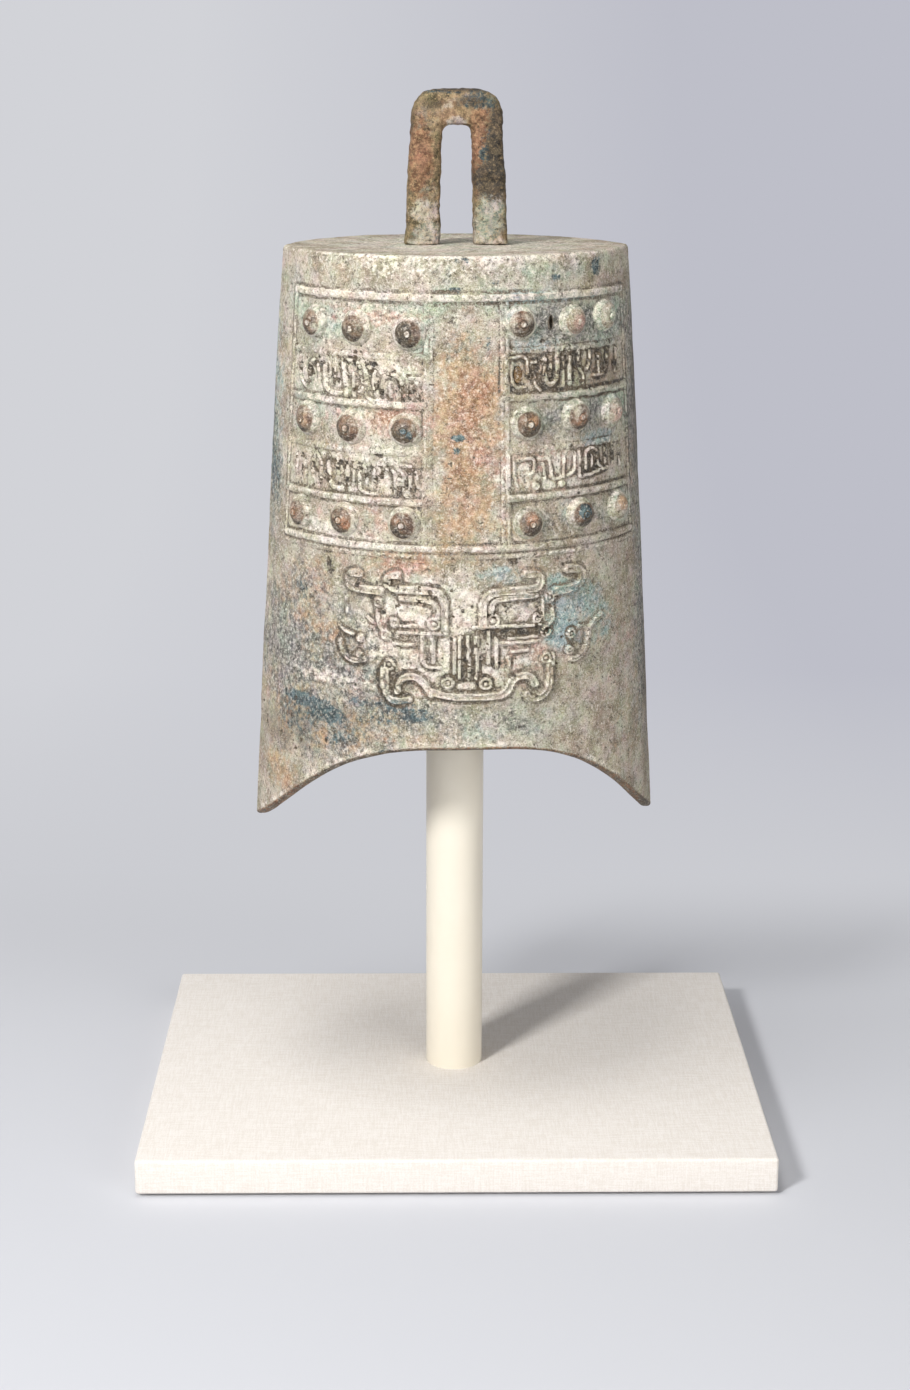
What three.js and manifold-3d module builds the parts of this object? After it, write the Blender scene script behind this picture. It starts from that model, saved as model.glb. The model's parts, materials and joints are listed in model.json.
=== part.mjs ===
// A loop suspension bell of cast bronze, shown on the stand that carries it from inside its crown.
// Millimetres, +Z up. The origin is the middle of the stand's underside, and the bell's front faces -Y.
import * as THREE from "three";
import { mergeVertices } from "three/addons/utils/BufferGeometryUtils.js";
import Module from "manifold-3d";

const wasm = await Module();
wasm.setup();

// Bell: one hollow casting with two bowed faces that meet in a ridge at each side.
const bellHeight = 297; // crown to the two tips of the mouth
const crownHalfLength = 86.4; // middle to side ridge, at the crown
const mouthHalfLength = 104.8; // the same, at the tips
const flareCurve = 0.9; // below 1 the sides bow outwards a little
const breadthShare = 0.82; // front to back, as a share of side to side
const wall = 5.5;
const crownThickness = 7;
const shoulder = 1.4; // rounding of the crown's edge
const archRise = 57; // how far the middle of the mouth lies above its tips
const archPower = 3; // above 2 the arch is flatter in its middle and steeper near the tips
const bellTurn = THREE.MathUtils.degToRad(3.2); // how far the bell is turned on its stand

// Decoration of each face. Depths are measured down from the crown, and places across the face
// are shares of the half length there, from -1 at one side ridge to 1 at the other.
const fieldTop = 19.5;
const upperBandTop = 45.5;
const upperBandFoot = 68.5;
const lowerBandTop = 92.5;
const lowerBandFoot = 116.5;
const fieldFoot = 139.8;
const footLineDrop = 3.8; // the thinner line under the field's lower border
const fieldSide = 0.91;
const panelSide = 0.19;
const panelLineGap = 0.025;
const bossPlaces = [0.318, 0.61, 0.838];
const bossRadius = 8.6;
const bossRise = 8.2;
const bossTipRadius = 1.7;
const bossTipRise = 1.3;
const ribWidth = 2.6;
const ribHeight = 1.3;
const thinRibWidth = 1.6;
const thinRibHeight = 0.8;
const ribRoot = 1.2; // how far a rib or boss starts below the surface
const facetTolerance = 0.08; // facets of the casting that lie this near to one plane are merged

// The long slot and the core spacer that were left in the front face's wall.
const slotPlace = [0.49, 32.2];
const slotWidth = 1.8;
const slotHeight = 6.6;
const spacerPlace = [0.273, 56.2];
const spacerWidth = 4.2;
const spacerHeight = 8.2;

// Suspension loop.
const loopHeight = 76;
const loopFootWidth = 52;
const loopShoulderWidth = 45.2;
const loopCornerRadius = 14.5;
const loopDepth = 13.5;
const loopEdge = 3.4; // rounding of the loop's edges
const eyeWidth = 17.2; // at its foot
const eyeTopWidth = 15.2; // where its arch starts
const eyeHeight = 58.5;
const eyeCrownFlat = 5; // flat at the top of the eye, where the bell hangs
const tenonWidth = 9;
const tenonDepth = 7;
const tenonLength = 4;

// Stand.
const fitGap = 0.3; // clearance between neighbouring pieces
const boardLength = 320;
const boardDepth = 248;
const boardTop = 19.8; // height of the covered board's upper face
const boardCorner = 1.6;
const linenThickness = 0.7;
const linenTurnIn = 28; // width of the cloth folded under the board
const feltThickness = 1.3;
const feltInset = 7;
const tipClearance = 142.2; // board to the bell's tips
const postDiameter = 30.2;
const postWall = 2.2;
const plugHeight = 22;
const steelLength = 150;
const steelDepth = 120;
const steelThickness = 5;
const steelCorner = 6;
const woodScrewInset = 12;
const woodScrewLength = 13;
const woodScrewRadius = 2.1;
const machineScrewLength = 17;
const machineScrewRadius = 2.5;
const screwHeadShare = 1.9; // head radius over shank radius
const screwSides = 12;
const screwCircle = 7.4; // radius of each ring of three screws
const supportThickness = 6;
const supportMargin = 9; // from the support plate's edge to the bell's inner wall
const supportTipRadius = 24; // rounding of the plate's two points, measured at the wall
const ovalSteps = 8; // steps of each arc of the support plate's outline
const padThickness = 3;
const edgeStripThickness = 2.2;
const edgeStripHeight = 9;

const crownTop = boardTop + tipClearance + bellHeight;
const crownUnderside = crownTop - crownThickness;
const padTop = crownUnderside - fitGap;
const supportTop = padTop - padThickness - fitGap;
const supportFoot = supportTop - supportThickness;
const postTop = supportFoot - fitGap;
const linenFoot = feltThickness + fitGap;
const coreFoot = linenFoot + linenThickness + fitGap;
const coreTop = boardTop - linenThickness - fitGap;
const steelFoot = coreFoot + 0.6;
const steelTop = steelFoot + steelThickness;
const postFoot = steelTop + fitGap;
const postRadius = postDiameter / 2;
const boreRadius = postRadius - postWall;

const bronze = new THREE.MeshStandardMaterial({ color: "#9a9480", roughness: 0.8, metalness: 0.35 });
const loopBronze = new THREE.MeshStandardMaterial({ color: "#7d6e52", roughness: 0.8, metalness: 0.4 });
const spacerBronze = new THREE.MeshStandardMaterial({ color: "#8f6b33", roughness: 0.7, metalness: 0.5 });
const linen = new THREE.MeshStandardMaterial({ color: "#e9e5de", roughness: 0.95, metalness: 0 });
const paint = new THREE.MeshStandardMaterial({ color: "#f1e9d9", roughness: 0.45, metalness: 0 });
const board = new THREE.MeshStandardMaterial({ color: "#b58f62", roughness: 0.8, metalness: 0 });
const steel = new THREE.MeshStandardMaterial({ color: "#a9acb0", roughness: 0.4, metalness: 0.9 });
const felt = new THREE.MeshStandardMaterial({ color: "#d8d4cb", roughness: 1, metalness: 0 });

// Turns a geometry into a solid that can be joined and cut.
function solidOf(geometry) {
  const bare = geometry.index ? geometry.toNonIndexed() : geometry.clone();
  const positions = new THREE.BufferGeometry().setAttribute("position", bare.getAttribute("position"));
  const merged = mergeVertices(positions, 1e-4);
  return new wasm.Manifold(
    new wasm.Mesh({
      numProp: 3,
      vertProperties: merged.getAttribute("position").array,
      triVerts: new Uint32Array(merged.index.array),
    }),
  );
}

// Turns a solid back into a geometry.
function geometryOf(solid) {
  const mesh = solid.getMesh();
  const geometry = new THREE.BufferGeometry();
  geometry.setAttribute("position", new THREE.BufferAttribute(mesh.vertProperties, 3));
  geometry.setIndex(new THREE.BufferAttribute(mesh.triVerts, 1));
  geometry.computeVertexNormals();
  return geometry;
}

function cut(geometry, ...tools) {
  return geometryOf(tools.reduce((rest, tool) => rest.subtract(solidOf(tool)), solidOf(geometry)));
}

function join(geometry, ...others) {
  return geometryOf(others.reduce((whole, other) => whole.add(solidOf(other)), solidOf(geometry)));
}

// A named piece of the object.
function piece(name, geometry, material) {
  const mesh = new THREE.Mesh(geometry, material);
  mesh.name = name;
  return mesh;
}

// A shape drawn in plan and raised from one height to another.
function raise(shape, foot, top, curveSegments = 8) {
  const geometry = new THREE.ExtrudeGeometry(shape, { depth: top - foot, bevelEnabled: false, curveSegments });
  return geometry.translate(0, 0, foot);
}

function roundedRectangle(length, depth, radius) {
  const [x, y] = [length / 2, depth / 2];
  const shape = new THREE.Shape();
  shape.absarc(x - radius, y - radius, radius, 0, Math.PI / 2);
  shape.absarc(radius - x, y - radius, radius, Math.PI / 2, Math.PI);
  shape.absarc(radius - x, radius - y, radius, Math.PI, 1.5 * Math.PI);
  shape.absarc(x - radius, radius - y, radius, 1.5 * Math.PI, 2 * Math.PI);
  return shape;
}

function cylinder(radius, foot, top, sides = 32) {
  return new THREE.CylinderGeometry(radius, radius, top - foot, sides)
    .rotateX(Math.PI / 2)
    .translate(0, 0, (foot + top) / 2);
}

// A profile of [radius, height] points turned about +Z.
function turned(profile, sides) {
  const points = profile.map(([radius, height]) => new THREE.Vector2(radius, height));
  return new THREE.LatheGeometry(points, sides).rotateX(Math.PI / 2);
}

function halfLengthAt(depth) {
  const share = Math.max(depth, 0) / bellHeight;
  return crownHalfLength + (mouthHalfLength - crownHalfLength) * Math.pow(share, flareCurve);
}

// The arc of one face at a depth: two such arcs make the pointed oval of the bell's section.
function faceArc(depth, inset) {
  const length = halfLengthAt(depth) - inset;
  const breadth = halfLengthAt(depth) * breadthShare - inset;
  const radius = (length * length + breadth * breadth) / (2 * breadth);
  return { length, breadth, radius, halfAngle: Math.asin(Math.min(1, length / radius)) };
}

// A point of the front face's outer surface, at a share across and a depth below the crown.
function facePoint(across, depth) {
  const { length, breadth, radius } = faceArc(depth, 0);
  const x = across * length;
  return new THREE.Vector3(x, radius - breadth - Math.sqrt(radius * radius - x * x), -depth);
}

function faceNormal(across, depth) {
  const step = 0.01;
  const sideways = facePoint(across + step, depth).sub(facePoint(across - step, depth));
  const downwards = facePoint(across, depth + 1).sub(facePoint(across, depth - 1));
  return downwards.cross(sideways).normalize();
}

function mouthDepth(share) {
  return bellHeight - archRise * (1 - Math.pow(Math.abs(share), archPower));
}

// One ring of the shell: both faces' arcs, from ridge to ridge, as deep as the mouth's arch allows.
function shellRing(columns, inset, top, fraction, edge = 0) {
  const ring = [];
  const { halfAngle } = faceArc(0, 0);
  for (const side of [1, -1]) {
    for (let i = 0; i < columns; i += 1) {
      const turn = (2 * i) / columns - 1;
      const rimShare = Math.min(1, Math.sin(Math.abs(turn) * halfAngle) / Math.sin(halfAngle));
      const depth = top + (mouthDepth(rimShare) - top) * fraction;
      const arc = faceArc(depth, inset + edge);
      const x = arc.radius * Math.sin(turn * arc.halfAngle);
      const y = arc.radius - arc.breadth - arc.radius * Math.cos(turn * arc.halfAngle);
      ring.push(new THREE.Vector3(side * x, side * y, -depth));
    }
  }
  return ring;
}

// The bare casting: outer rings down to the mouth, then inner rings back up to the crown's underside.
function bareShell() {
  const columns = 20;
  const outerSteps = [0, 0.012, 0.3, 0.6, 0.85, 1];
  const innerSteps = [1, 0.85, 0.6, 0.3, 0];
  const rings = [
    ...outerSteps.map((step) => shellRing(columns, 0, 0, step, step === 0 ? shoulder : 0)),
    ...innerSteps.map((step) => shellRing(columns, wall, crownThickness, step)),
  ];
  const count = rings[0].length;
  const positions = [];
  const put = (...points) => points.forEach((point) => positions.push(point.x, point.y, point.z));
  for (let row = 0; row + 1 < rings.length; row += 1) {
    for (let i = 0; i < count; i += 1) {
      const next = (i + 1) % count;
      const [a, b] = [rings[row][i], rings[row][next]];
      const [c, d] = [rings[row + 1][i], rings[row + 1][next]];
      put(a, c, b, b, c, d);
    }
  }
  const crownCentre = new THREE.Vector3(0, 0, 0);
  const underCentre = new THREE.Vector3(0, 0, -crownThickness);
  const last = rings[rings.length - 1];
  for (let i = 0; i < count; i += 1) {
    const next = (i + 1) % count;
    put(crownCentre, rings[0][i], rings[0][next]);
    put(underCentre, last[next], last[i]);
  }
  const geometry = new THREE.BufferGeometry();
  geometry.setAttribute("position", new THREE.BufferAttribute(new Float32Array(positions), 3));
  return geometry;
}

// A raised line on the face, along points of [across, depth].
function rib(path, width, height) {
  const rows = path.map(([across, depth], i) => {
    const centre = facePoint(across, depth);
    const normal = faceNormal(across, depth);
    const ahead = facePoint(...path[Math.min(i + 1, path.length - 1)]);
    const tangent = ahead.sub(facePoint(...path[Math.max(i - 1, 0)])).normalize();
    const side = new THREE.Vector3().crossVectors(normal, tangent).normalize();
    const corner = (sideways, out) =>
      centre.clone().addScaledVector(side, sideways).addScaledVector(normal, out);
    return [
      corner(-width / 2, -ribRoot),
      corner(-width / 3, height),
      corner(width / 3, height),
      corner(width / 2, -ribRoot),
    ];
  });
  const positions = [];
  const put = (...points) => points.forEach((point) => positions.push(point.x, point.y, point.z));
  for (let row = 0; row + 1 < rows.length; row += 1) {
    for (let i = 0; i < 4; i += 1) {
      const next = (i + 1) % 4;
      const [a, b] = [rows[row][i], rows[row][next]];
      const [c, d] = [rows[row + 1][i], rows[row + 1][next]];
      put(a, c, b, b, c, d);
    }
  }
  const [first, last] = [rows[0], rows[rows.length - 1]];
  put(first[0], first[1], first[2], first[0], first[2], first[3]);
  put(last[0], last[2], last[1], last[0], last[3], last[2]);
  const geometry = new THREE.BufferGeometry();
  geometry.setAttribute("position", new THREE.BufferAttribute(new Float32Array(positions), 3));
  return geometry;
}

function levelRib(from, to, depth, steps, width, height) {
  const path = Array.from({ length: steps + 1 }, (_, i) => [from + ((to - from) * i) / steps, depth]);
  return rib(path, width, height);
}

function uprightRib(across, top, foot, width, height) {
  const steps = 2;
  const path = Array.from({ length: steps + 1 }, (_, i) => [across, top + ((foot - top) * i) / steps]);
  return rib(path, width, height);
}

// Lays a shape built along +Z on the front face, with +Z outwards and +Y up the face.
function laidOnFace(geometry, across, depth) {
  const normal = faceNormal(across, depth);
  const sideways = new THREE.Vector3().crossVectors(new THREE.Vector3(0, 0, 1), normal).normalize();
  const up = new THREE.Vector3().crossVectors(normal, sideways);
  const placed = new THREE.Matrix4().makeBasis(sideways, up, normal);
  placed.setPosition(facePoint(across, depth));
  return geometry.applyMatrix4(placed);
}

function boss(across, depth) {
  const profile = [
    [0, -ribRoot],
    [bossRadius, -ribRoot],
    [bossRadius * 0.92, bossRise * 0.36],
    [bossRadius * 0.6, bossRise * 0.82],
    [bossTipRadius, bossRise],
    [0, bossRise + bossTipRise],
  ];
  return laidOnFace(turned(profile, 9), across, depth);
}

// Everything raised on one face.
function faceDecoration() {
  const bandEdges = [upperBandTop, upperBandFoot, lowerBandTop, lowerBandFoot];
  const rowDepths = [
    (fieldTop + upperBandTop) / 2 + 1,
    (upperBandFoot + lowerBandTop) / 2,
    (lowerBandFoot + fieldFoot) / 2,
  ];
  const raised = [
    levelRib(-fieldSide, fieldSide, fieldTop, 12, ribWidth, ribHeight),
    levelRib(-fieldSide, fieldSide, fieldFoot, 12, ribWidth, ribHeight),
    levelRib(-fieldSide, fieldSide, fieldFoot + footLineDrop, 12, thinRibWidth, thinRibHeight),
  ];
  for (const side of [-1, 1]) {
    raised.push(uprightRib(side * fieldSide, fieldTop, fieldFoot, thinRibWidth, thinRibHeight));
    raised.push(uprightRib(side * panelSide, fieldTop, fieldFoot, thinRibWidth, thinRibHeight));
    raised.push(uprightRib(side * (panelSide + panelLineGap), fieldTop, fieldFoot, thinRibWidth, thinRibHeight));
    for (const depth of bandEdges) {
      const from = side * (panelSide + panelLineGap);
      raised.push(levelRib(from, side * fieldSide, depth, 5, thinRibWidth, thinRibHeight));
    }
    for (const place of bossPlaces) {
      rowDepths.forEach((depth) => raised.push(boss(side * place, depth)));
    }
  }
  return raised;
}

function ellipsePrism(width, height, depth) {
  const shape = new THREE.Shape().absellipse(0, 0, width / 2, height / 2, 0, 2 * Math.PI);
  return new THREE.ExtrudeGeometry(shape, { depth, bevelEnabled: false, curveSegments: 6 });
}

function bellBody() {
  let body = solidOf(bareShell());
  for (const raised of faceDecoration()) {
    body = body.add(solidOf(raised));
    body = body.add(solidOf(raised.clone().rotateZ(Math.PI)));
  }
  const slot = new THREE.BoxGeometry(slotWidth, slotHeight, 6 * wall);
  const spacerHole = ellipsePrism(spacerWidth + 2 * fitGap, spacerHeight + 2 * fitGap, 6 * wall);
  body = body.subtract(solidOf(laidOnFace(slot, ...slotPlace)));
  body = body.subtract(solidOf(laidOnFace(spacerHole.translate(0, 0, -3 * wall), ...spacerPlace)));
  for (const side of [-1, 1]) {
    body = body.subtract(solidOf(loopTenon(side, fitGap)));
  }
  return geometryOf(body.simplify(facetTolerance));
}

function coreSpacer() {
  const proud = 0.3;
  const prism = ellipsePrism(spacerWidth, spacerHeight, wall + proud).translate(0, 0, -wall);
  return laidOnFace(prism, ...spacerPlace);
}

// The tenon under one leg of the loop, or with clearance the socket that takes it.
function loopTenon(side, clearance) {
  const legMiddle = (loopFootWidth + eyeWidth) / 4;
  const root = clearance ? 1 : 2;
  return new THREE.BoxGeometry(
    tenonWidth + 2 * clearance,
    tenonDepth + 2 * clearance,
    tenonLength + root + clearance,
  ).translate(side * legMiddle, 0, (root + fitGap - tenonLength - clearance) / 2);
}

function suspensionLoop() {
  const foot = fitGap;
  const [wide, narrow] = [loopFootWidth / 2, loopShoulderWidth / 2];
  const corner = loopCornerRadius;
  const outline = new THREE.Shape();
  outline.moveTo(-wide + loopEdge, foot);
  outline.lineTo(-narrow + loopEdge, loopHeight - corner);
  outline.quadraticCurveTo(-narrow + loopEdge, loopHeight - loopEdge, -narrow + corner, loopHeight - loopEdge);
  outline.lineTo(narrow - corner, loopHeight - loopEdge);
  outline.quadraticCurveTo(narrow - loopEdge, loopHeight - loopEdge, narrow - loopEdge, loopHeight - corner);
  outline.lineTo(wide - loopEdge, foot);
  outline.lineTo(eyeWidth / 2 + loopEdge, foot);
  const bend = (eyeTopWidth - eyeCrownFlat) / 2;
  const eyeSide = eyeTopWidth / 2 + loopEdge;
  const eyeTop = eyeHeight + loopEdge;
  outline.lineTo(eyeSide, eyeHeight - bend);
  outline.quadraticCurveTo(eyeSide, eyeTop, eyeCrownFlat / 2, eyeTop);
  outline.lineTo(-eyeCrownFlat / 2, eyeTop);
  outline.quadraticCurveTo(-eyeSide, eyeTop, -eyeSide, eyeHeight - bend);
  outline.lineTo(-eyeWidth / 2 - loopEdge, foot);
  outline.closePath();
  const bar = new THREE.ExtrudeGeometry(outline, {
    depth: loopDepth - 2 * loopEdge,
    bevelThickness: loopEdge,
    bevelSize: loopEdge,
    bevelSegments: 2,
    curveSegments: 6,
  });
  bar.rotateX(Math.PI / 2).translate(0, loopDepth / 2 - loopEdge, 0);
  const below = new THREE.BoxGeometry(2 * loopFootWidth, 2 * loopDepth, 2 * loopEdge + 2);
  below.translate(0, 0, foot - loopEdge - 1);
  return join(cut(bar, below), loopTenon(-1, 0), loopTenon(1, 0));
}

// A countersunk screw that points along +Z, with the flat of its head at z = 0.
function screw(radius, length, pointed) {
  const head = radius * screwHeadShare;
  const tip = pointed ? [[radius, length - 2 * radius], [0, length]] : [[radius, length], [0, length]];
  const body = turned([[0, 0], [head, 0], [radius, head - radius], ...tip], screwSides);
  const socket = new THREE.CylinderGeometry(radius * 0.75, radius * 0.75, 2 * radius, 6).rotateX(Math.PI / 2);
  return cut(body, socket);
}

// The hole that such a screw goes through, with its countersink.
function screwHole(radius, length) {
  const head = radius * screwHeadShare;
  const open = radius + fitGap;
  return turned([[0, -1], [head + fitGap, -1], [head + fitGap, fitGap], [open, head - radius + fitGap],
    [open, length + fitGap], [0, length + fitGap]], screwSides);
}

// Places for three screws on a ring round the post's axis.
function screwRing() {
  return [0, 1, 2].map((i) => {
    const angle = Math.PI / 2 + (i * 2 * Math.PI) / 3;
    return [screwCircle * Math.cos(angle), screwCircle * Math.sin(angle)];
  });
}

function woodScrewPlaces() {
  const [x, y] = [steelLength / 2 - woodScrewInset, steelDepth / 2 - woodScrewInset];
  return [[-x, -y], [x, -y], [x, y], [-x, y]];
}

// The bell's inner outline near the crown, drawn in from the wall by a margin, with its points rounded.
function ovalOutline(margin) {
  const { length, breadth, radius } = faceArc(crownThickness, wall + margin);
  const centreDrop = radius - breadth;
  const tip = Math.max(supportTipRadius - margin, 1);
  const tipCentre = Math.sqrt((radius - tip) ** 2 - centreDrop ** 2);
  const turn = Math.atan2(centreDrop, tipCentre);
  const shape = new THREE.Shape();
  shape.absarc(0, -centreDrop, radius, turn, Math.PI - turn);
  shape.absarc(-tipCentre, 0, tip, Math.PI - turn, Math.PI + turn);
  shape.absarc(0, centreDrop, radius, Math.PI + turn, 2 * Math.PI - turn);
  shape.absarc(tipCentre, 0, tip, -turn, turn);
  return shape;
}

function boardCore() {
  const length = boardLength - 2 * (linenThickness + fitGap);
  const depth = boardDepth - 2 * (linenThickness + fitGap);
  const core = raise(roundedRectangle(length, depth, boardCorner), coreFoot, coreTop, 3);
  const pocket = raise(
    roundedRectangle(steelLength + 2 * fitGap, steelDepth + 2 * fitGap, steelCorner), coreFoot - 1, steelTop + fitGap, 4,
  );
  const postHole = cylinder(postRadius + fitGap, coreFoot - 1, coreTop + 1, 40);
  const pilots = woodScrewPlaces().map(([x, y]) =>
    cylinder(woodScrewRadius + fitGap, steelFoot, steelFoot + woodScrewLength + fitGap, screwSides).translate(x, y, 0));
  return cut(core, pocket, postHole, ...pilots);
}

function linenCover() {
  const outer = raise(roundedRectangle(boardLength, boardDepth, boardCorner + linenThickness), linenFoot, boardTop, 3);
  const inside = raise(
    roundedRectangle(boardLength - 2 * linenThickness, boardDepth - 2 * linenThickness, boardCorner),
    linenFoot + linenThickness, boardTop - linenThickness, 3,
  );
  const window = raise(
    roundedRectangle(boardLength - 2 * linenTurnIn, boardDepth - 2 * linenTurnIn, boardCorner),
    linenFoot - 1, linenFoot + linenThickness + 1, 3,
  );
  return cut(outer, inside, window, cylinder(postRadius + fitGap, coreTop, boardTop + 1, 40));
}

function undersideFelt() {
  return raise(roundedRectangle(boardLength - 2 * feltInset, boardDepth - 2 * feltInset, boardCorner), 0, feltThickness, 3);
}

function steelBase() {
  const plate = raise(roundedRectangle(steelLength, steelDepth, steelCorner), steelFoot, steelTop, 4);
  const holes = [
    ...woodScrewPlaces().map(([x, y]) => screwHole(woodScrewRadius, woodScrewLength).translate(x, y, steelFoot)),
    ...screwRing().map(([x, y]) => screwHole(machineScrewRadius, machineScrewLength).translate(x, y, steelFoot)),
  ];
  return cut(plate, ...holes);
}

function postTube() {
  const outside = cylinder(postRadius, postFoot, postTop, 40);
  return cut(outside, cylinder(boreRadius, postFoot - 1, postTop + 1, 40));
}

function footPlug() {
  const plug = cylinder(boreRadius - fitGap, postFoot, postFoot + plugHeight, 32);
  const holes = screwRing().map(([x, y]) =>
    cylinder(machineScrewRadius + fitGap, postFoot - 1, steelFoot + machineScrewLength + fitGap, screwSides).translate(x, y, 0));
  return cut(plug, ...holes);
}

function headPlug() {
  const plug = cylinder(boreRadius - fitGap, postTop - plugHeight, postTop, 32);
  const holes = screwRing().map(([x, y]) =>
    cylinder(machineScrewRadius + fitGap, supportTop - machineScrewLength - fitGap, postTop + 1, screwSides).translate(x, y, 0));
  return cut(plug, ...holes);
}

function supportPlate() {
  const plate = raise(ovalOutline(supportMargin), supportFoot, supportTop, ovalSteps);
  const holes = screwRing().map(([x, y]) =>
    screwHole(machineScrewRadius, machineScrewLength).rotateX(Math.PI).translate(x, y, supportTop));
  return cut(plate, ...holes);
}

function crownPad() {
  return raise(ovalOutline(supportMargin), supportTop + fitGap, padTop, ovalSteps);
}

// A soft strip round the support plate's edge, so that no hard edge meets the bell's wall.
function edgeStrip() {
  const top = supportTop;
  const outer = raise(ovalOutline(supportMargin - fitGap - edgeStripThickness), top - edgeStripHeight, top, ovalSteps);
  const inner = raise(ovalOutline(supportMargin - fitGap), top - edgeStripHeight - 1, top + 1, ovalSteps);
  return cut(outer, inner);
}

const object = new THREE.Group();

const stand = new THREE.Group();
object.add(stand);
stand.add(piece("underside_felt", undersideFelt(), felt));
stand.add(piece("linen_cover", linenCover(), linen));
stand.add(piece("board_core", boardCore(), board));
stand.add(piece("steel_base", steelBase(), steel));
woodScrewPlaces().forEach(([x, y], i) => {
  const made = piece(`base_wood_screw_${i + 1}`, screw(woodScrewRadius, woodScrewLength, true), steel);
  made.position.set(x, y, steelFoot);
  stand.add(made);
});
stand.add(piece("post_tube", postTube(), paint));
stand.add(piece("post_foot_plug", footPlug(), steel));
screwRing().forEach(([x, y], i) => {
  const made = piece(`post_foot_screw_${i + 1}`, screw(machineScrewRadius, machineScrewLength, false), steel);
  made.position.set(x, y, steelFoot);
  stand.add(made);
});

// The head turns with the bell, because its plate follows the bell's inner outline.
const head = new THREE.Group();
head.rotation.z = bellTurn;
stand.add(head);
head.add(piece("post_head_plug", headPlug(), steel));
head.add(piece("support_plate", supportPlate(), steel));
screwRing().forEach(([x, y], i) => {
  const made = piece(`support_screw_${i + 1}`, screw(machineScrewRadius, machineScrewLength, false), steel);
  made.rotation.x = Math.PI;
  made.position.set(x, y, supportTop);
  head.add(made);
});
head.add(piece("crown_pad", crownPad(), felt));
head.add(piece("support_edge_strip", edgeStrip(), felt));

const bell = new THREE.Group();
bell.position.z = crownTop;
bell.rotation.z = bellTurn;
object.add(bell);
bell.add(piece("bell_body", bellBody(), bronze));
bell.add(piece("suspension_loop", suspensionLoop(), loopBronze));
bell.add(piece("core_spacer", coreSpacer(), spacerBronze));

export default object;
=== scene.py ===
"""Dresses a loop suspension bell of cast bronze, on its linen-covered display stand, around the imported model.

The model's nodes are the frame: every piece made here goes where they are. Lengths are in millimetres in
this script and are turned to metres where a mesh is made. Depths on the bell are measured down from its
crown, and the bell's photographed face looks towards -Y.
"""

import json
import logging
import math
from collections.abc import Callable, Iterator
from contextlib import contextmanager
from dataclasses import dataclass
from enum import Enum
from itertools import product
from typing import NamedTuple

import bmesh
import bpy
import numpy as np
from mathutils import Matrix, Vector

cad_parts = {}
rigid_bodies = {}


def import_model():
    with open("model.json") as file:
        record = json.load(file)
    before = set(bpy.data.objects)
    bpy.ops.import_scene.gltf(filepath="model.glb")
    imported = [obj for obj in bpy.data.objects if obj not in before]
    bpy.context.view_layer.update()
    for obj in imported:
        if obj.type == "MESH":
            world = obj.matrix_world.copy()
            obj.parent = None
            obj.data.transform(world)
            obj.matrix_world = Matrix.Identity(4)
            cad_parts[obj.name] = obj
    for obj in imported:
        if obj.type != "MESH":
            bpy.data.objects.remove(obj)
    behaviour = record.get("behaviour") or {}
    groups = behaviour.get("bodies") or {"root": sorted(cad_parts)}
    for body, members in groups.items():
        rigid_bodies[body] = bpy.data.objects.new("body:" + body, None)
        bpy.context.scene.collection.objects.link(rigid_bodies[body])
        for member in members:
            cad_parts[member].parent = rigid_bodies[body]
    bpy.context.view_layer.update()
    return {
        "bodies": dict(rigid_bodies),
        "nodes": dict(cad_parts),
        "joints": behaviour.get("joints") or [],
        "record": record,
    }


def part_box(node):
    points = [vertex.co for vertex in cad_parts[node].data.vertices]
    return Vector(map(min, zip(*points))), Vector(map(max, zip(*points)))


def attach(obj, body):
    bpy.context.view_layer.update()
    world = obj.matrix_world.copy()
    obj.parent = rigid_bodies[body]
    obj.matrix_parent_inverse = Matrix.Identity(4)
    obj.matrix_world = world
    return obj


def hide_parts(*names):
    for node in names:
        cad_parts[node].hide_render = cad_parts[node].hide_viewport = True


LOG = logging.getLogger("suspension_bell")
MM = 0.001
Array = np.ndarray
Colour = tuple[float, float, float, float]
Path = list[tuple[float, float]]
Piece = bpy.types.Object
Socket = bpy.types.NodeSocket
Input = Socket | float | tuple[float, ...]


def linear(hex_colour: str) -> Colour:
    """Turns an sRGB hex colour to linear RGBA.

    Args:
        hex_colour: Six hex digits after a #.

    Returns:
        Red, green, blue and an alpha of 1.
    """
    parts = [int(hex_colour[i : i + 2], 16) / 255 for i in (1, 3, 5)]
    red, green, blue = (c / 12.92 if c <= 0.04045 else ((c + 0.055) / 1.055) ** 2.4 for c in parts)
    return red, green, blue, 1.0


def smooth(value: Array, low: float, high: float) -> Array:
    """Eases values from 0 at low to 1 at high, which may be below low."""
    share = np.clip((value - low) / (high - low), 0.0, 1.0)
    return share * share * (3 - 2 * share)


def blurred(table: Array, reach: float) -> Array:
    """Blurs a table of heights so that each spreads over a reach, in cells.

    Args:
        table: The heights.
        reach: How many cells each height spreads over.

    Returns:
        The blurred heights.
    """
    down, along = np.fft.fftfreq(table.shape[0]), np.fft.rfftfreq(table.shape[1])
    fall = np.exp(-2 * (math.pi * reach) ** 2 * (down[:, None] ** 2 + along**2))
    return np.fft.irfft2(np.fft.rfft2(table) * fall, table.shape)


class Face(Enum):
    """The two cast faces of the bell."""

    FRONT = 1
    BACK = -1


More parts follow.
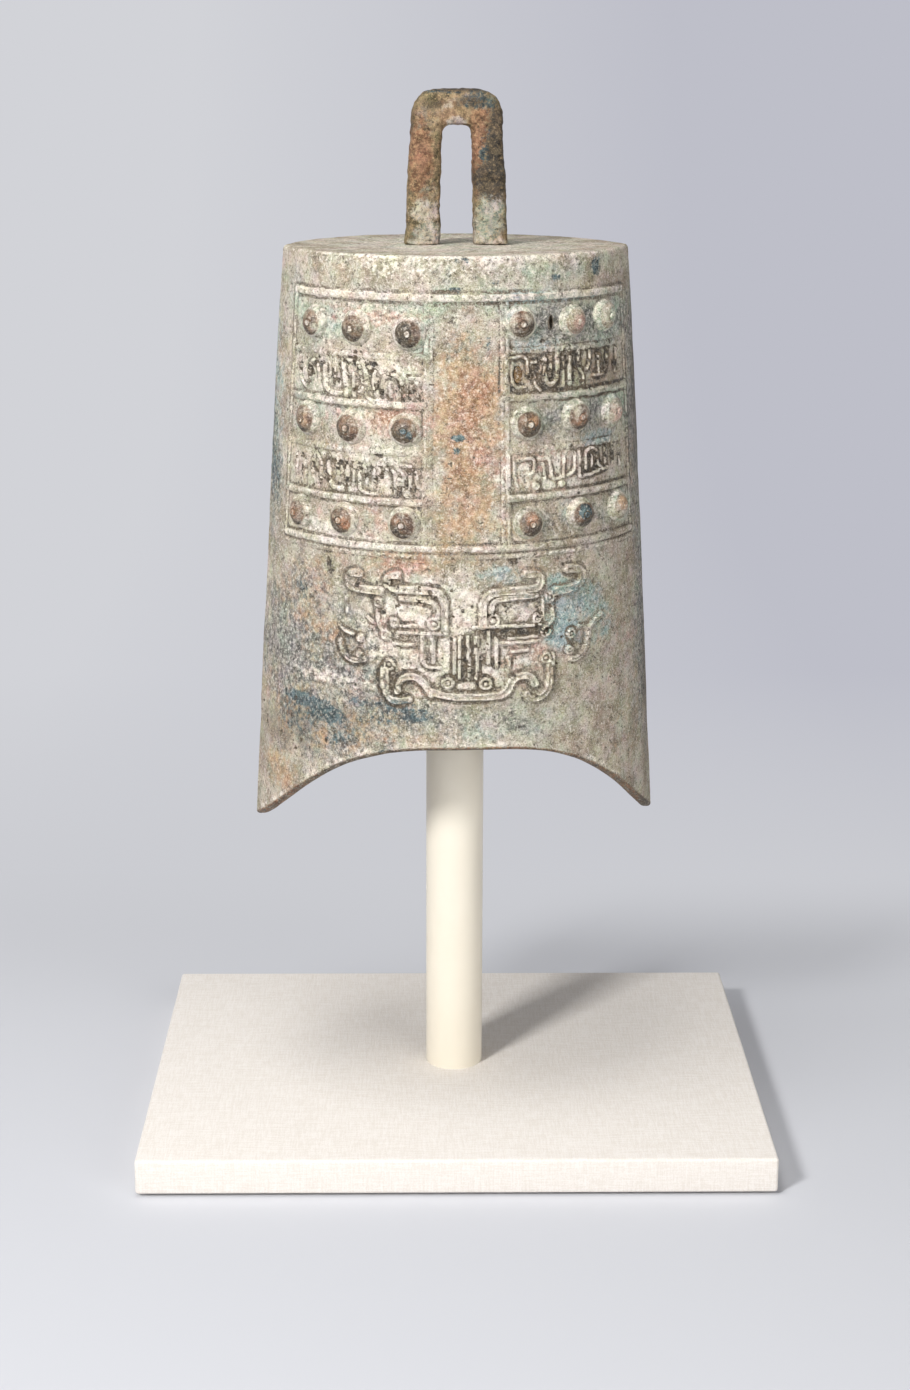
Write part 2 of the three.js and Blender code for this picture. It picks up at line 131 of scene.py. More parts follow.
class Tone(Enum):
    """The colours that lie on the bronze, some of them also carrying painted shade, each with the name of its
    vertex attribute.
    """

    TAN = "tan_earth"
    RUST = "orange_rust"
    CRUST = "white_crust"
    VERDIGRIS = "pale_verdigris"
    TURQUOISE = "pale_turquoise"
    PINK = "pink_oxide"
    GREY_FILM_AND_SHADE = "grey_film_and_painted_shade"
    TEAL = "dark_teal_copper"
    # The dark tone is dark patina, and also painted shade in hollows, on the bosses' lower sides and along the
    # face's right edge.
    DARK_PATINA_AND_SHADE = "dark_patina_and_painted_shade"
    WORN = "worn_bronze"


class Zone(Enum):
    """The two lengths in which each face is modelled, so that its fine relief stays sharp."""

    UPPER = "upper"
    LOWER = "lower"


class Profile(Enum):
    """The section of a raised line of the casting."""

    RIDGE = "rounded line"
    RIBBON = "flat band with raised edges"
    CORD = "twisted cord"


class Line(NamedTuple):
    """How wide and high a raised line is, and its section."""

    width: float
    height: float
    profile: Profile = Profile.RIDGE


class Stroke(NamedTuple):
    """A raised line on a path of points, in millimetres across the face and of depth."""

    path: Path
    line: Line


class Eye(NamedTuple):
    """A ringed dot in the ornament, at a place across and a depth."""

    across: float
    depth: float
    radius: float


class Area(NamedTuple):
    """A soft-edged oval, in millimetres across and of depth, with its strength in the middle."""

    across: float
    depth: float
    half_width: float
    half_height: float
    strength: float


Areas = dict[Tone, tuple[Area, ...]]


def areas_of(table: dict[Tone, tuple[tuple[float, ...], ...]]) -> Areas:
    """Turns a table of ovals by tone to areas."""
    return {tone: tuple(Area(*oval) for oval in ovals) for tone, ovals in table.items()}


def covered(across: Array, depth: Array, areas: tuple[Area, ...]) -> Array:
    """How strongly some areas cover each place, from 0 to 1.

    Args:
        across: Millimetres across for each place.
        depth: Millimetres down, or up, for each place.
        areas: The areas.

    Returns:
        One value for each place.
    """
    total = np.zeros(len(depth))
    for area in areas:
        off = ((across - area.across) / area.half_width) ** 2 + ((depth - area.depth) / area.half_height) ** 2
        total = 1 - (1 - total) * (1 - area.strength * np.exp(-(off**1.6)))
    return total


class Grain:
    """Seeded value noise in space, the same in each run."""

    SIZE = 4096
    PRIMES = np.array((73856093, 19349663, 83492791))
    FAINTER = 0.55
    SHIFT = 31.7

    def __init__(self, seed: int) -> None:
        """Draws the table of values from a seed."""
        self.table = np.random.default_rng(seed).random(self.SIZE)

    def at(self, points: Array, cell: float) -> Array:
        """Smooth noise from 0 to 1.

        Args:
            points: Places in millimetres, one row each.
            cell: The size of one blot in millimetres.

        Returns:
            One value for each place.
        """
        scaled = points / cell
        corner = np.floor(scaled).astype(np.int64)
        part = scaled - corner
        part = part * part * (3 - 2 * part)
        total = np.zeros(len(points))
        for step in np.ndindex(2, 2, 2):
            x, y, z = ((corner + np.array(step)) * self.PRIMES).T
            weight = np.prod(np.where(step, part, 1 - part), axis=1)
            total += weight * self.table[(x ^ y ^ z) % self.SIZE]
        return total

    def layered(self, points: Array, cell: float, layers: int = 3) -> Array:
        """Noise with finer and fainter layers on it.

        Args:
            points: Places in millimetres, one row each.
            cell: The size of the largest blot in millimetres.
            layers: How many layers there are.

        Returns:
            One value from 0 to 1 for each place.
        """
        total, weights = np.zeros(len(points)), 0.0
        for layer in range(layers):
            weight = self.FAINTER**layer
            total += weight * self.at(points + self.SHIFT * layer, cell / 2**layer)
            weights += weight
        return total / weights


def rounded(path: Path, corner: float = 2.4) -> Array:
    """Rounds the corners of a path.

    Args:
        path: The points of the path.
        corner: How far from a corner its curve begins, in millimetres.

    Returns:
        The points of the rounded path, one row each, with the same ends.
    """
    line = np.array(path, float)
    found = [line[0]]
    for before, point, after in zip(line, line[1:], line[2:], strict=False):
        back, ahead = before - point, after - point
        back *= min(corner / np.linalg.norm(back), 0.5)
        ahead *= min(corner / np.linalg.norm(ahead), 0.5)
        found += [point + back * (1 - share) ** 2 + ahead * share**2 for share in (0.0, 0.25, 0.5, 0.75, 1.0)]
    return np.array([*found, line[-1]])


@dataclass(frozen=True)
class BellForm:
    """The outline of the bell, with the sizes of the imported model."""

    crown_z: float
    height: float
    turn: float = math.radians(3.2)
    crown_half_length: float = 86.4
    mouth_half_length: float = 104.8
    flare_curve: float = 0.9
    breadth_share: float = 0.82
    wall: float = 5.5
    crown: float = 7.0
    shoulder: float = 1.8
    arch_rise: float = 57.0
    arch_power: float = 3.0

    def half_length(self, depth: Array) -> Array:
        """Half of the bell's length from side to side, at a depth.

        Args:
            depth: Millimetres below the crown.

        Returns:
            The half length in millimetres.
        """
        share = np.clip(depth, 0, None) / self.height
        flare = self.mouth_half_length - self.crown_half_length
        return self.crown_half_length + flare * share**self.flare_curve

    def arc(self, depth: Array, inset: float = 0.0) -> tuple[Array, Array, Array]:
        """The arc of one face.

        Args:
            depth: The depth below the crown.
            inset: How far inside the outer surface the arc lies.

        Returns:
            The arc's half length, its breadth and its radius.
        """
        length = self.half_length(depth) - inset
        breadth = self.half_length(depth) * self.breadth_share - inset
        return length, breadth, (length**2 + breadth**2) / (2 * breadth)

    def mouth_depth(self, share: Array) -> Array:
        """The depth of the arched mouth, at a share of the half length from -1 to 1."""
        return self.height - self.arch_rise * (1 - np.clip(np.abs(share), 0, 1) ** self.arch_power)

    def along(self, across: Array, depth: Array) -> Array:
        """Turns millimetres straight across to millimetres along the face's arc."""
        radius = self.arc(depth)[2]
        return radius * np.arcsin(np.clip(across / radius, -1, 1))

    def laid(self, points: Array, across: float, depth: float) -> Array:
        """Lays a shape on the face.

        Args:
            points: The shape's points round its middle, to the right, up and out of the face.
            across: Millimetres straight across to its middle.
            depth: Millimetres below the crown to its middle.

        Returns:
            The points from the middle of the crown's top.
        """
        breadth, radius = (float(size) for size in self.arc(np.array(depth))[1:])
        angle = math.asin(across / radius)
        cos, sin = math.cos(angle), math.sin(angle)
        middle = np.array([across, -(radius * cos - (radius - breadth)), -depth])
        right, up, out = np.array([cos, sin, 0.0]), np.array([0, 0, 1.0]), np.array([sin, -cos, 0.0])
        return middle + points[:, :1] * right + points[:, 1:2] * up + points[:, 2:] * out

    def _spin(self, face: Face) -> Array:
        """The turn of a face as a matrix.

        Args:
            face: The face.

        Returns:
            A matrix that turns column vectors.
        """
        turn = self.turn + (math.pi if face is Face.BACK else 0.0)
        cos, sin = math.cos(turn), math.sin(turn)
        return np.array([[cos, -sin, 0], [sin, cos, 0], [0, 0, 1]])

    def placed(self, points: Array, face: Face) -> Array:
        """Turns points of a face, from the middle of the crown's top, to where they are in the model."""
        return points @ self._spin(face).T + np.array([0, 0, self.crown_z])

    def unplaced(self, points: Array, face: Face) -> Array:
        """The reverse of placed."""
        return (points - np.array([0, 0, self.crown_z])) @ self._spin(face)


@dataclass(frozen=True)
class Ornament:
    """Cast ornament: flat ribbons, each with its width, thin ridges and ringed eyes."""

    ribbons: tuple[tuple[float, Path], ...]
    ridges: tuple[Path, ...]
    eyes: tuple[tuple[float, float, float], ...]
    ribbon_height: float
    ridge_width: float
    ridge_height: float

    def strokes(self) -> list[Stroke]:
        """Every ribbon and ridge."""
        flat, ridge = Profile.RIBBON, Line(self.ridge_width, self.ridge_height)
        found = [Stroke(path, Line(width, self.ribbon_height, flat)) for width, path in self.ribbons]
        return found + [Stroke(path, ridge) for path in self.ridges]


# The hooked and turned lines of the four meander bands.
MEANDERS = Ornament(
    ribbons=(
        (3.06, [(18.2, 47.6), (18, 64)]),
        (2.38, [(37.8, 49.6), (38, 57.6), (39.8, 61.4), (42.6, 61.4), (44.6, 58), (44.6, 47.6)]),
        (2.38, [(50.9, 47.4), (51, 61.8)]),
        (2.04, [(66.6, 49.4), (66.8, 58.6)]),
        (2.38, [(20.2, 94.8), (20, 111.4)]),
        (2.38, [(-66.9, 53.4), (-66.8, 64.6), (-63.8, 67.6), (-59.2, 67)]),
        (2.38, [(-58.3, 52.6), (-57.2, 60), (-57, 67.4)]),
        (2.38, [(-43.6, 55), (-44, 61), (-42.6, 66.4)]),
        (2.38, [(-65.6, 98.6), (-65.7, 110.4), (-62.6, 113.6), (-59.2, 113)]),
        (2.21, [(-57, 98.4), (-57, 110.6)]),
    ),
    ridges=(
        [(22, 50.4), (21.4, 56), (21.9, 60), (24.4, 62.6), (28.4, 62)],
        [(20.8, 48), (27, 47.2), (29.5, 49), (29.8, 57.2)],
        [(31.2, 50.6), (35.4, 50.4), (36.2, 53), (35.2, 57.4)],
        [(31.2, 57.4), (32.4, 54.6), (33.6, 56.6), (32.4, 60.4), (35.8, 64)], [(41, 52.4), (41, 58)],
        [(47.6, 48.8), (47.6, 62.6)], [(55.4, 46.6), (56, 55), (58.4, 59.4), (58.4, 62.4)],
        [(61.6, 47), (61.6, 53), (60.2, 56.2)], [(63.4, 59), (68.4, 60), (71.2, 57.4), (71.4, 47.8)],
        [(76.2, 48.4), (76.6, 60.2)], [(23.4, 97.6), (23.2, 104), (24.8, 109.6)],
        [(25.4, 97.2), (31.4, 96.4), (33.2, 97.8), (33.2, 103.8), (30.8, 104.8)],
        [(35.4, 97), (39.4, 96.6), (41.2, 98.8), (41.8, 106.2), (44, 107.8), (46.8, 107.2)],
        [(37.4, 100.2), (38.4, 103.2), (38.4, 107.4)], [(48, 107), (48.2, 97.6)],
        [(49.8, 106.8), (53.8, 105.4), (54, 96.4)],
        [(56.2, 95.2), (56.4, 108.2), (62.4, 107.6), (72.4, 105.8)],
        [(60, 104.4), (59.6, 96.4), (63.6, 94.4), (66.4, 96.4), (66.6, 103.6), (69.4, 105.4)],
        [(63.2, 98.6), (63.2, 103.4)], [(70.8, 95.2), (71, 103.6)], [(74.8, 94.8), (75.2, 104.2)],
        [(79, 96.4), (79.4, 106.2)], [(-78.6, 51.4), (-78.8, 62.4), (-76.2, 66)],
        [(-74.4, 64.2), (-74.4, 54.4), (-72.4, 52.2), (-70, 54.2), (-69.9, 62.4)],
        [(-62.6, 54.6), (-62.6, 62.4)],
        [(-60, 51.2), (-56, 50.4), (-51.6, 51.2), (-50.6, 54), (-50.4, 60.4), (-47.2, 61.8)],
        [(-53.4, 57.2), (-53.6, 67.8)], [(-47.6, 64.2), (-47.2, 68.6), (-40.8, 68.8)],
        [(-40.4, 65.4), (-40, 58.6), (-37, 56.2), (-32.6, 56.6), (-31, 59.4), (-31, 66.2)],
        [(-36.2, 60.2), (-36.4, 66.8)], [(-28.2, 57.6), (-24.2, 57.2), (-22.9, 60.4), (-23, 68.2)],
        [(-27.2, 61.6), (-27.2, 67.8)], [(-81, 99.4), (-81, 112.2)],
        [(-77.2, 104.2), (-76.6, 110), (-77.4, 114.2)],
        [(-73.4, 109.8), (-73.4, 99.8), (-71.2, 97.8), (-69.4, 100.4), (-69.6, 112.2)],
        [(-61.6, 99.2), (-61.6, 107.8)],
        [(-54.2, 110.6), (-53.8, 101.6), (-51, 99.6), (-48.2, 102), (-48, 108.8)],
        [(-51.2, 106.2), (-51.2, 113), (-46.2, 114.4), (-41.6, 113.8), (-41.2, 109.2)],
        [(-44.4, 98.8), (-44.6, 109.2)],
        [(-40.4, 103.8), (-38.4, 101.6), (-35.4, 102), (-34.2, 105), (-34.2, 113.4)],
        [(-31.4, 99.4), (-25.8, 100.2), (-24.2, 103.4), (-24, 109.4), (-21.8, 110.6)],
        [(-30.4, 103.8), (-30.4, 111.8)], [(-27.4, 105.4), (-27.2, 111.6)],
    ),
    eyes=(
        (34, 110.4, 1.5), (47.4, 110.2, 1.4), (-23.2, 58.9, 1.6), (-50, 64.4, 1.4), (-32.4, 107.6, 1.7),
        (-28.4, 113.4, 1.5),
    ),
    ribbon_height=1.3, ridge_width=1.2, ridge_height=1.25,
)

# The interlaced dragon figure below the field, whose two halves differ a little.
FIGURE = Ornament(
    ribbons=(
        (3.9, [(29.2, 153.1), (34.6, 152.9), (36.7, 155), (36.5, 158.8), (34.4, 160.5), (24, 160.9),
            (13.6, 161.2), (9.4, 163.2), (8, 167), (7.8, 177.2)]),
        (2.8, [(34.4, 163.9), (22, 164.3), (15.2, 164.8), (12.3, 166.8), (11.8, 172)]),
        (4.2, [(50.6, 152.6), (56.4, 152.9), (58.4, 155.4), (57.8, 159.8), (54.6, 162.2), (49, 162.6),
            (43.6, 163)]),
        (3.6, [(41.6, 198.4), (41.9, 206.2), (40.6, 212.2), (36.8, 215.3), (31.4, 215.7), (29.8, 212.8)]),
        (3.7, [(-16.6, 210.4), (-11, 212), (-4, 212.8), (10, 212.9), (17, 212.3), (20.4, 210.4),
            (21.4, 206.8), (23.8, 203.9), (28.8, 203), (32.6, 204.4), (34, 208)]),
        (2.8, [(69, 178.4), (64.6, 181.4), (61.6, 184.6), (61.8, 189), (60, 195), (56.4, 198), (52.6, 198)]),
        (3.8, [(-33, 153), (-37, 153.5), (-38.7, 155.3), (-38.4, 158.4), (-35.4, 160), (-28, 160.2),
            (-17.2, 160.1), (-13, 161.6), (-11, 165), (-10.4, 170), (-10.8, 178.4)]),
        (2.6, [(-31.6, 164.4), (-20, 164.8), (-15.8, 166.2), (-13.9, 169.4), (-13.7, 173)]),
        (4.1, [(-51.6, 153.9), (-55.2, 153.7), (-56.8, 155.2), (-56.9, 158.8), (-54.6, 161.1), (-48, 161.4),
            (-41.2, 161.6)]),
        (2.8, [(-61, 188.4), (-60.2, 193.6), (-57.4, 196.6), (-53, 197.6), (-49.8, 196.2)]),
        (3.6, [(-39.6, 200.6), (-39.8, 209.4), (-38.2, 214.4), (-33.8, 215.9), (-28.6, 214.6)]),
        (3.4, [(-33.8, 210.6), (-32.8, 205.4), (-28.8, 202.6), (-23.8, 203.3), (-20.2, 207),
            (-17.4, 211.4)]),
    ),
    ridges=(
        [(37.6, 165.6), (38, 174.4)], [(42.6, 170.4), (43.4, 176.8), (41.4, 179)],
        [(3.4, 178), (36.8, 178.6)], [(20.6, 184.2), (35, 184.2)], [(15, 186.6), (36, 186.6)],
        [(20.6, 193.4), (20.8, 198.4)], [(22.4, 190.8), (30.4, 190.8)], [(0.8, 182.6), (0.8, 203.6)],
        [(4.9, 183.2), (4.9, 203.4)], [(10.8, 180.2), (10.6, 196)], [(14.6, 184), (14.6, 198)],
        [(43.2, 193.8), (43.6, 199.4)], [(62, 184), (57, 182.2)], [(-3.4, 183), (-3.6, 203.4)],
        [(-5.9, 184), (-6, 200.6)], [(-32.2, 178.2), (-24.8, 177.8)], [(-33.4, 181.4), (-10.2, 181.2)],
        [(-35, 187), (-25, 187)], [(-21.4, 183), (-21.4, 195.6), (-19.2, 198), (-13, 198.4)],
        [(-16.6, 183), (-16.6, 195.4)], [(-43.2, 171), (-43.2, 177), (-41, 180.6)],
        [(-58, 166.2), (-57.4, 175.4)], [(-48, 174.8), (-45.4, 177)],
        [(-61.6, 180.4), (-59.4, 183), (-54.8, 184.4)], [(-41.4, 199.6), (-41.6, 209.4)],
    ),
    eyes=(
        (41.4, 165.8, 2.5), (34.8, 175.4, 2.1), (39.6, 182.2, 2.6), (13, 175.2, 3.4), (39.6, 195.4, 2.7),
        (9.4, 206.4, 3), (52.8, 185, 2.5), (51.8, 193.2, 2.2), (-42.7, 167, 2.3), (-35, 176.6, 2.1),
        (-39.4, 183, 2.4), (-16, 176.4, 3.2), (-37.6, 197.8, 2.7), (-9.4, 205.8, 3), (-51.7, 185.9, 1.8),
        (-52, 194, 1.6),
    ),
    ribbon_height=2.2, ridge_width=1.5, ridge_height=1.5,
)


@dataclass
class Decoration:
    """Everything that is raised on one face of the bell, worked out once as a table of heights.

    The table has rows of depth and columns of millimetres along the face's arc.
    """

    form: BellForm
    face: Face
    field_top: float = 19.5
    field_foot: float = 139.8
    foot_line_drop: float = 3.8
    field_side: float = 0.91
    panel_side: float = 0.19
    panel_line_gap: float = 0.025
    bands: tuple[tuple[int, float, float], ...] = (
        (-1, 47.6, 70.6), (-1, 93.4, 117.4), (1, 44.9, 67.2), (1, 92.4, 115.5))
    top_line: Line = Line(3.6, 1.3)
    foot_line: Line = Line(3.2, 1.2)
    foot_cord: Line = Line(1.9, 1.0, Profile.CORD)
    side_line: Line = Line(2.2, 0.9)
    panel_cord: Line = Line(2.0, 0.9, Profile.CORD)
    panel_line: Line = Line(1.8, 0.8)
    band_cord: Line = Line(2.6, 0.8, Profile.CORD)
    band_line: Line = Line(3.2, 1.1)
    level_steps: int = 16
    upright_steps: int = 6
    eye_height: float = 1.7
    ring_share: float = 0.82
    cord_lay: float = 3.4
    lowest: float = 0.62
    cell: float = 0.3
    table_reach: float = 150.0
    table_foot: float = 300.0
    margin: float = 1.8
    hollow_reach: float = 1.5
    wear_mm: float = 14.0
    sway: float = 0.6

    def __post_init__(self) -> None:
        """Works out the relief of the borders, the meander bands and the interlaced figure."""
        grain = Grain(11 if self.face is Face.FRONT else 12)
        runs = np.arange(-self.table_reach, self.table_reach + 0.1, self.cell)
        depths = np.arange(0.0, self.table_foot + 0.1, self.cell)
        depth, run = (axis.ravel() for axis in np.meshgrid(depths, runs, indexing="ij"))
        flat = np.stack([run, depth, np.zeros_like(depth)], axis=1)
        sway = self.sway * (grain.at(flat, 3.1) - 0.5), self.sway * (grain.at(flat + 57.0, 3.3) - 0.5)
        places = np.stack([run + sway[0], depth + sway[1]], axis=1).reshape(len(depths), len(runs), 2)
        height = np.zeros(places.shape[:2])
        for path, line in (*self._borders(), *MEANDERS.strokes(), *FIGURE.strokes()):
            points = rounded(path)
            points = np.stack([self.form.along(points[:, 0], points[:, 1]), points[:, 1]], axis=1)
            window = self._window(points, line.width / 2 + self.margin, height.shape)
            near = places[window].reshape(-1, 2)
            section = self._section(self._off(near, points), line)
            if line.profile is Profile.CORD:
                lay = np.cos(near.sum(1) * 2 * math.pi / self.cord_lay)
                section *= self.lowest + (1 - self.lowest) * lay
            height[window] = np.maximum(height[window], section.reshape(height[window].shape))
        for eye in (Eye(*place) for place in MEANDERS.eyes + FIGURE.eyes):
            run = float(self.form.along(np.array(eye.across), np.array(eye.depth)))
            window = self._window(np.array([[run, eye.depth]]), eye.radius + self.margin, height.shape)
            off = np.linalg.norm(places[window] - (run, eye.depth), axis=2)
            ring = smooth(np.abs(off - eye.radius * self.ring_share), 0.95, 0.2)
            dome = smooth(off, eye.radius * 0.6, eye.radius * 0.1)
            height[window] = np.maximum(height[window], self.eye_height * np.maximum(ring, dome))
        wear = smooth(grain.layered(flat + 113.0, self.wear_mm), 0.12, 0.5).reshape(height.shape)
        self.table = height * (self.lowest + (1 - self.lowest) * wear)
        self.around = blurred(self.table, self.hollow_reach / self.cell)

    def _border(self, shares: tuple[float, float], depths: tuple[float, float], line: Line) -> Stroke:
        """A level or upright border line between two shares of the half length and two depths.

        Args:
            shares: Where it begins and ends across the face, as shares of the half length.
            depths: The depths where it begins and ends.
            line: Its size and section.

        Returns:
            The line on its path.
        """
        steps = self.level_steps if depths[0] == depths[1] else self.upright_steps
        path = []
        for step in range(steps + 1):
            share, depth = (first + (last - first) * step / steps for first, last in (shares, depths))
            path.append((share * float(self.form.half_length(np.array(depth))), depth))
        return Stroke(path, line)

    def _borders(self) -> list[Stroke]:
        """The frame round the field, the plain middle panel and the edges of the bands."""
        wide, upright = (-self.field_side, self.field_side), (self.field_top, self.field_foot)
        levels = ((self.field_top, self.top_line), (self.field_foot, self.foot_line),
                  (self.field_foot + self.foot_line_drop, self.foot_cord))
        found = [self._border(wide, (depth, depth), line) for depth, line in levels]
        for side in (-1, 1):
            uprights = ((self.field_side, self.side_line), (self.panel_side, self.panel_cord),
                        (self.panel_side + self.panel_line_gap, self.panel_line))
            found += [self._border((side * share, side * share), upright, line) for share, line in uprights]
        for side, top, foot in self.bands:
            shares = side * (self.panel_side + self.panel_line_gap), side * self.field_side
            edges = ((top, self.band_cord), (foot, self.band_line))
            found += [self._border(shares, (depth, depth), line) for depth, line in edges]
        return found

    def _window(self, line: Array, reach: float, shape: tuple[int, int]) -> tuple[slice, slice]:
        """The part of the table round a line of points.

        Args:
            line: Millimetres along the arc and of depth, one row for each point.
            reach: How far round the line the part goes.
            shape: The table's rows and columns.

        Returns:
            Its rows and columns.
        """
        corner = np.array([self.table_reach, 0.0])
        first = np.floor((line.min(0) - reach + corner) / self.cell).astype(int)
        last = np.ceil((line.max(0) + reach + corner) / self.cell).astype(int) + 1
        rows, columns = (slice(max(first[axis], 0), min(last[axis], shape[1 - axis])) for axis in (1, 0))
        return rows, columns

    def _read(self, table: Array, across: Array, depth: Array) -> Array:
        """Reads a table between its cells, at millimetres across and of depth.

        Args:
            table: The table.
            across: Millimetres across for each place.
            depth: Millimetres of depth for each place.

        Returns:
            One value for each place.
        """
        rows, columns = table.shape
        column = np.clip((self.form.along(across, depth) + self.table_reach) / self.cell, 0, columns - 1.001)
        row = np.clip(depth / self.cell, 0, rows - 1.001)
        left, top = np.floor(column).astype(int), np.floor(row).astype(int)
        right, down = column - left, row - top
        upper = table[top, left] * (1 - right) + table[top, left + 1] * right
        lower = table[top + 1, left] * (1 - right) + table[top + 1, left + 1] * right
        return upper * (1 - down) + lower * down

    def relief(self, across: Array, depth: Array) -> Array:
        """How many millimetres the raised lines stand out of the smooth surface."""
        return self._read(self.table, across, depth)

    def hollow(self, across: Array, depth: Array) -> Array:
        """How much lower a place lies than what is round it: above 0 beside raised lines, below 0 on them."""
        return self._read(self.around - self.table, across, depth)

    @staticmethod
    def _off(places: Array, line: Array) -> Array:
        """The distance of each place from a line of points.

        Args:
            places: The places, one row each.
            line: The points, one row each.

        Returns:
            The distances.
        """
        best = np.full(len(places), np.inf)
        for start, end in zip(line[:-1], line[1:], strict=True):
            step = end - start
            share = np.clip(((places - start) @ step) / max(float(step @ step), 1e-9), 0, 1)
            best = np.minimum(best, np.linalg.norm(places - start - share[:, None] * step, axis=1))
        return best

    @staticmethod
    def _section(off: Array, line: Line) -> Array:
        """The height of a line's section at a distance from its middle.

        Args:
            off: The distances.
            line: The line's size and section.

        Returns:
            The heights.
        """
        edge = line.width / 2
        body = smooth(off, edge + 0.35, max(edge - 0.5, 0.0))
        if line.profile is not Profile.RIBBON:
            return line.height * body
        rim = smooth(np.abs(off - (edge - 0.55)), 0.8, 0.1)
        return line.height * body * (0.55 + 0.45 * rim)
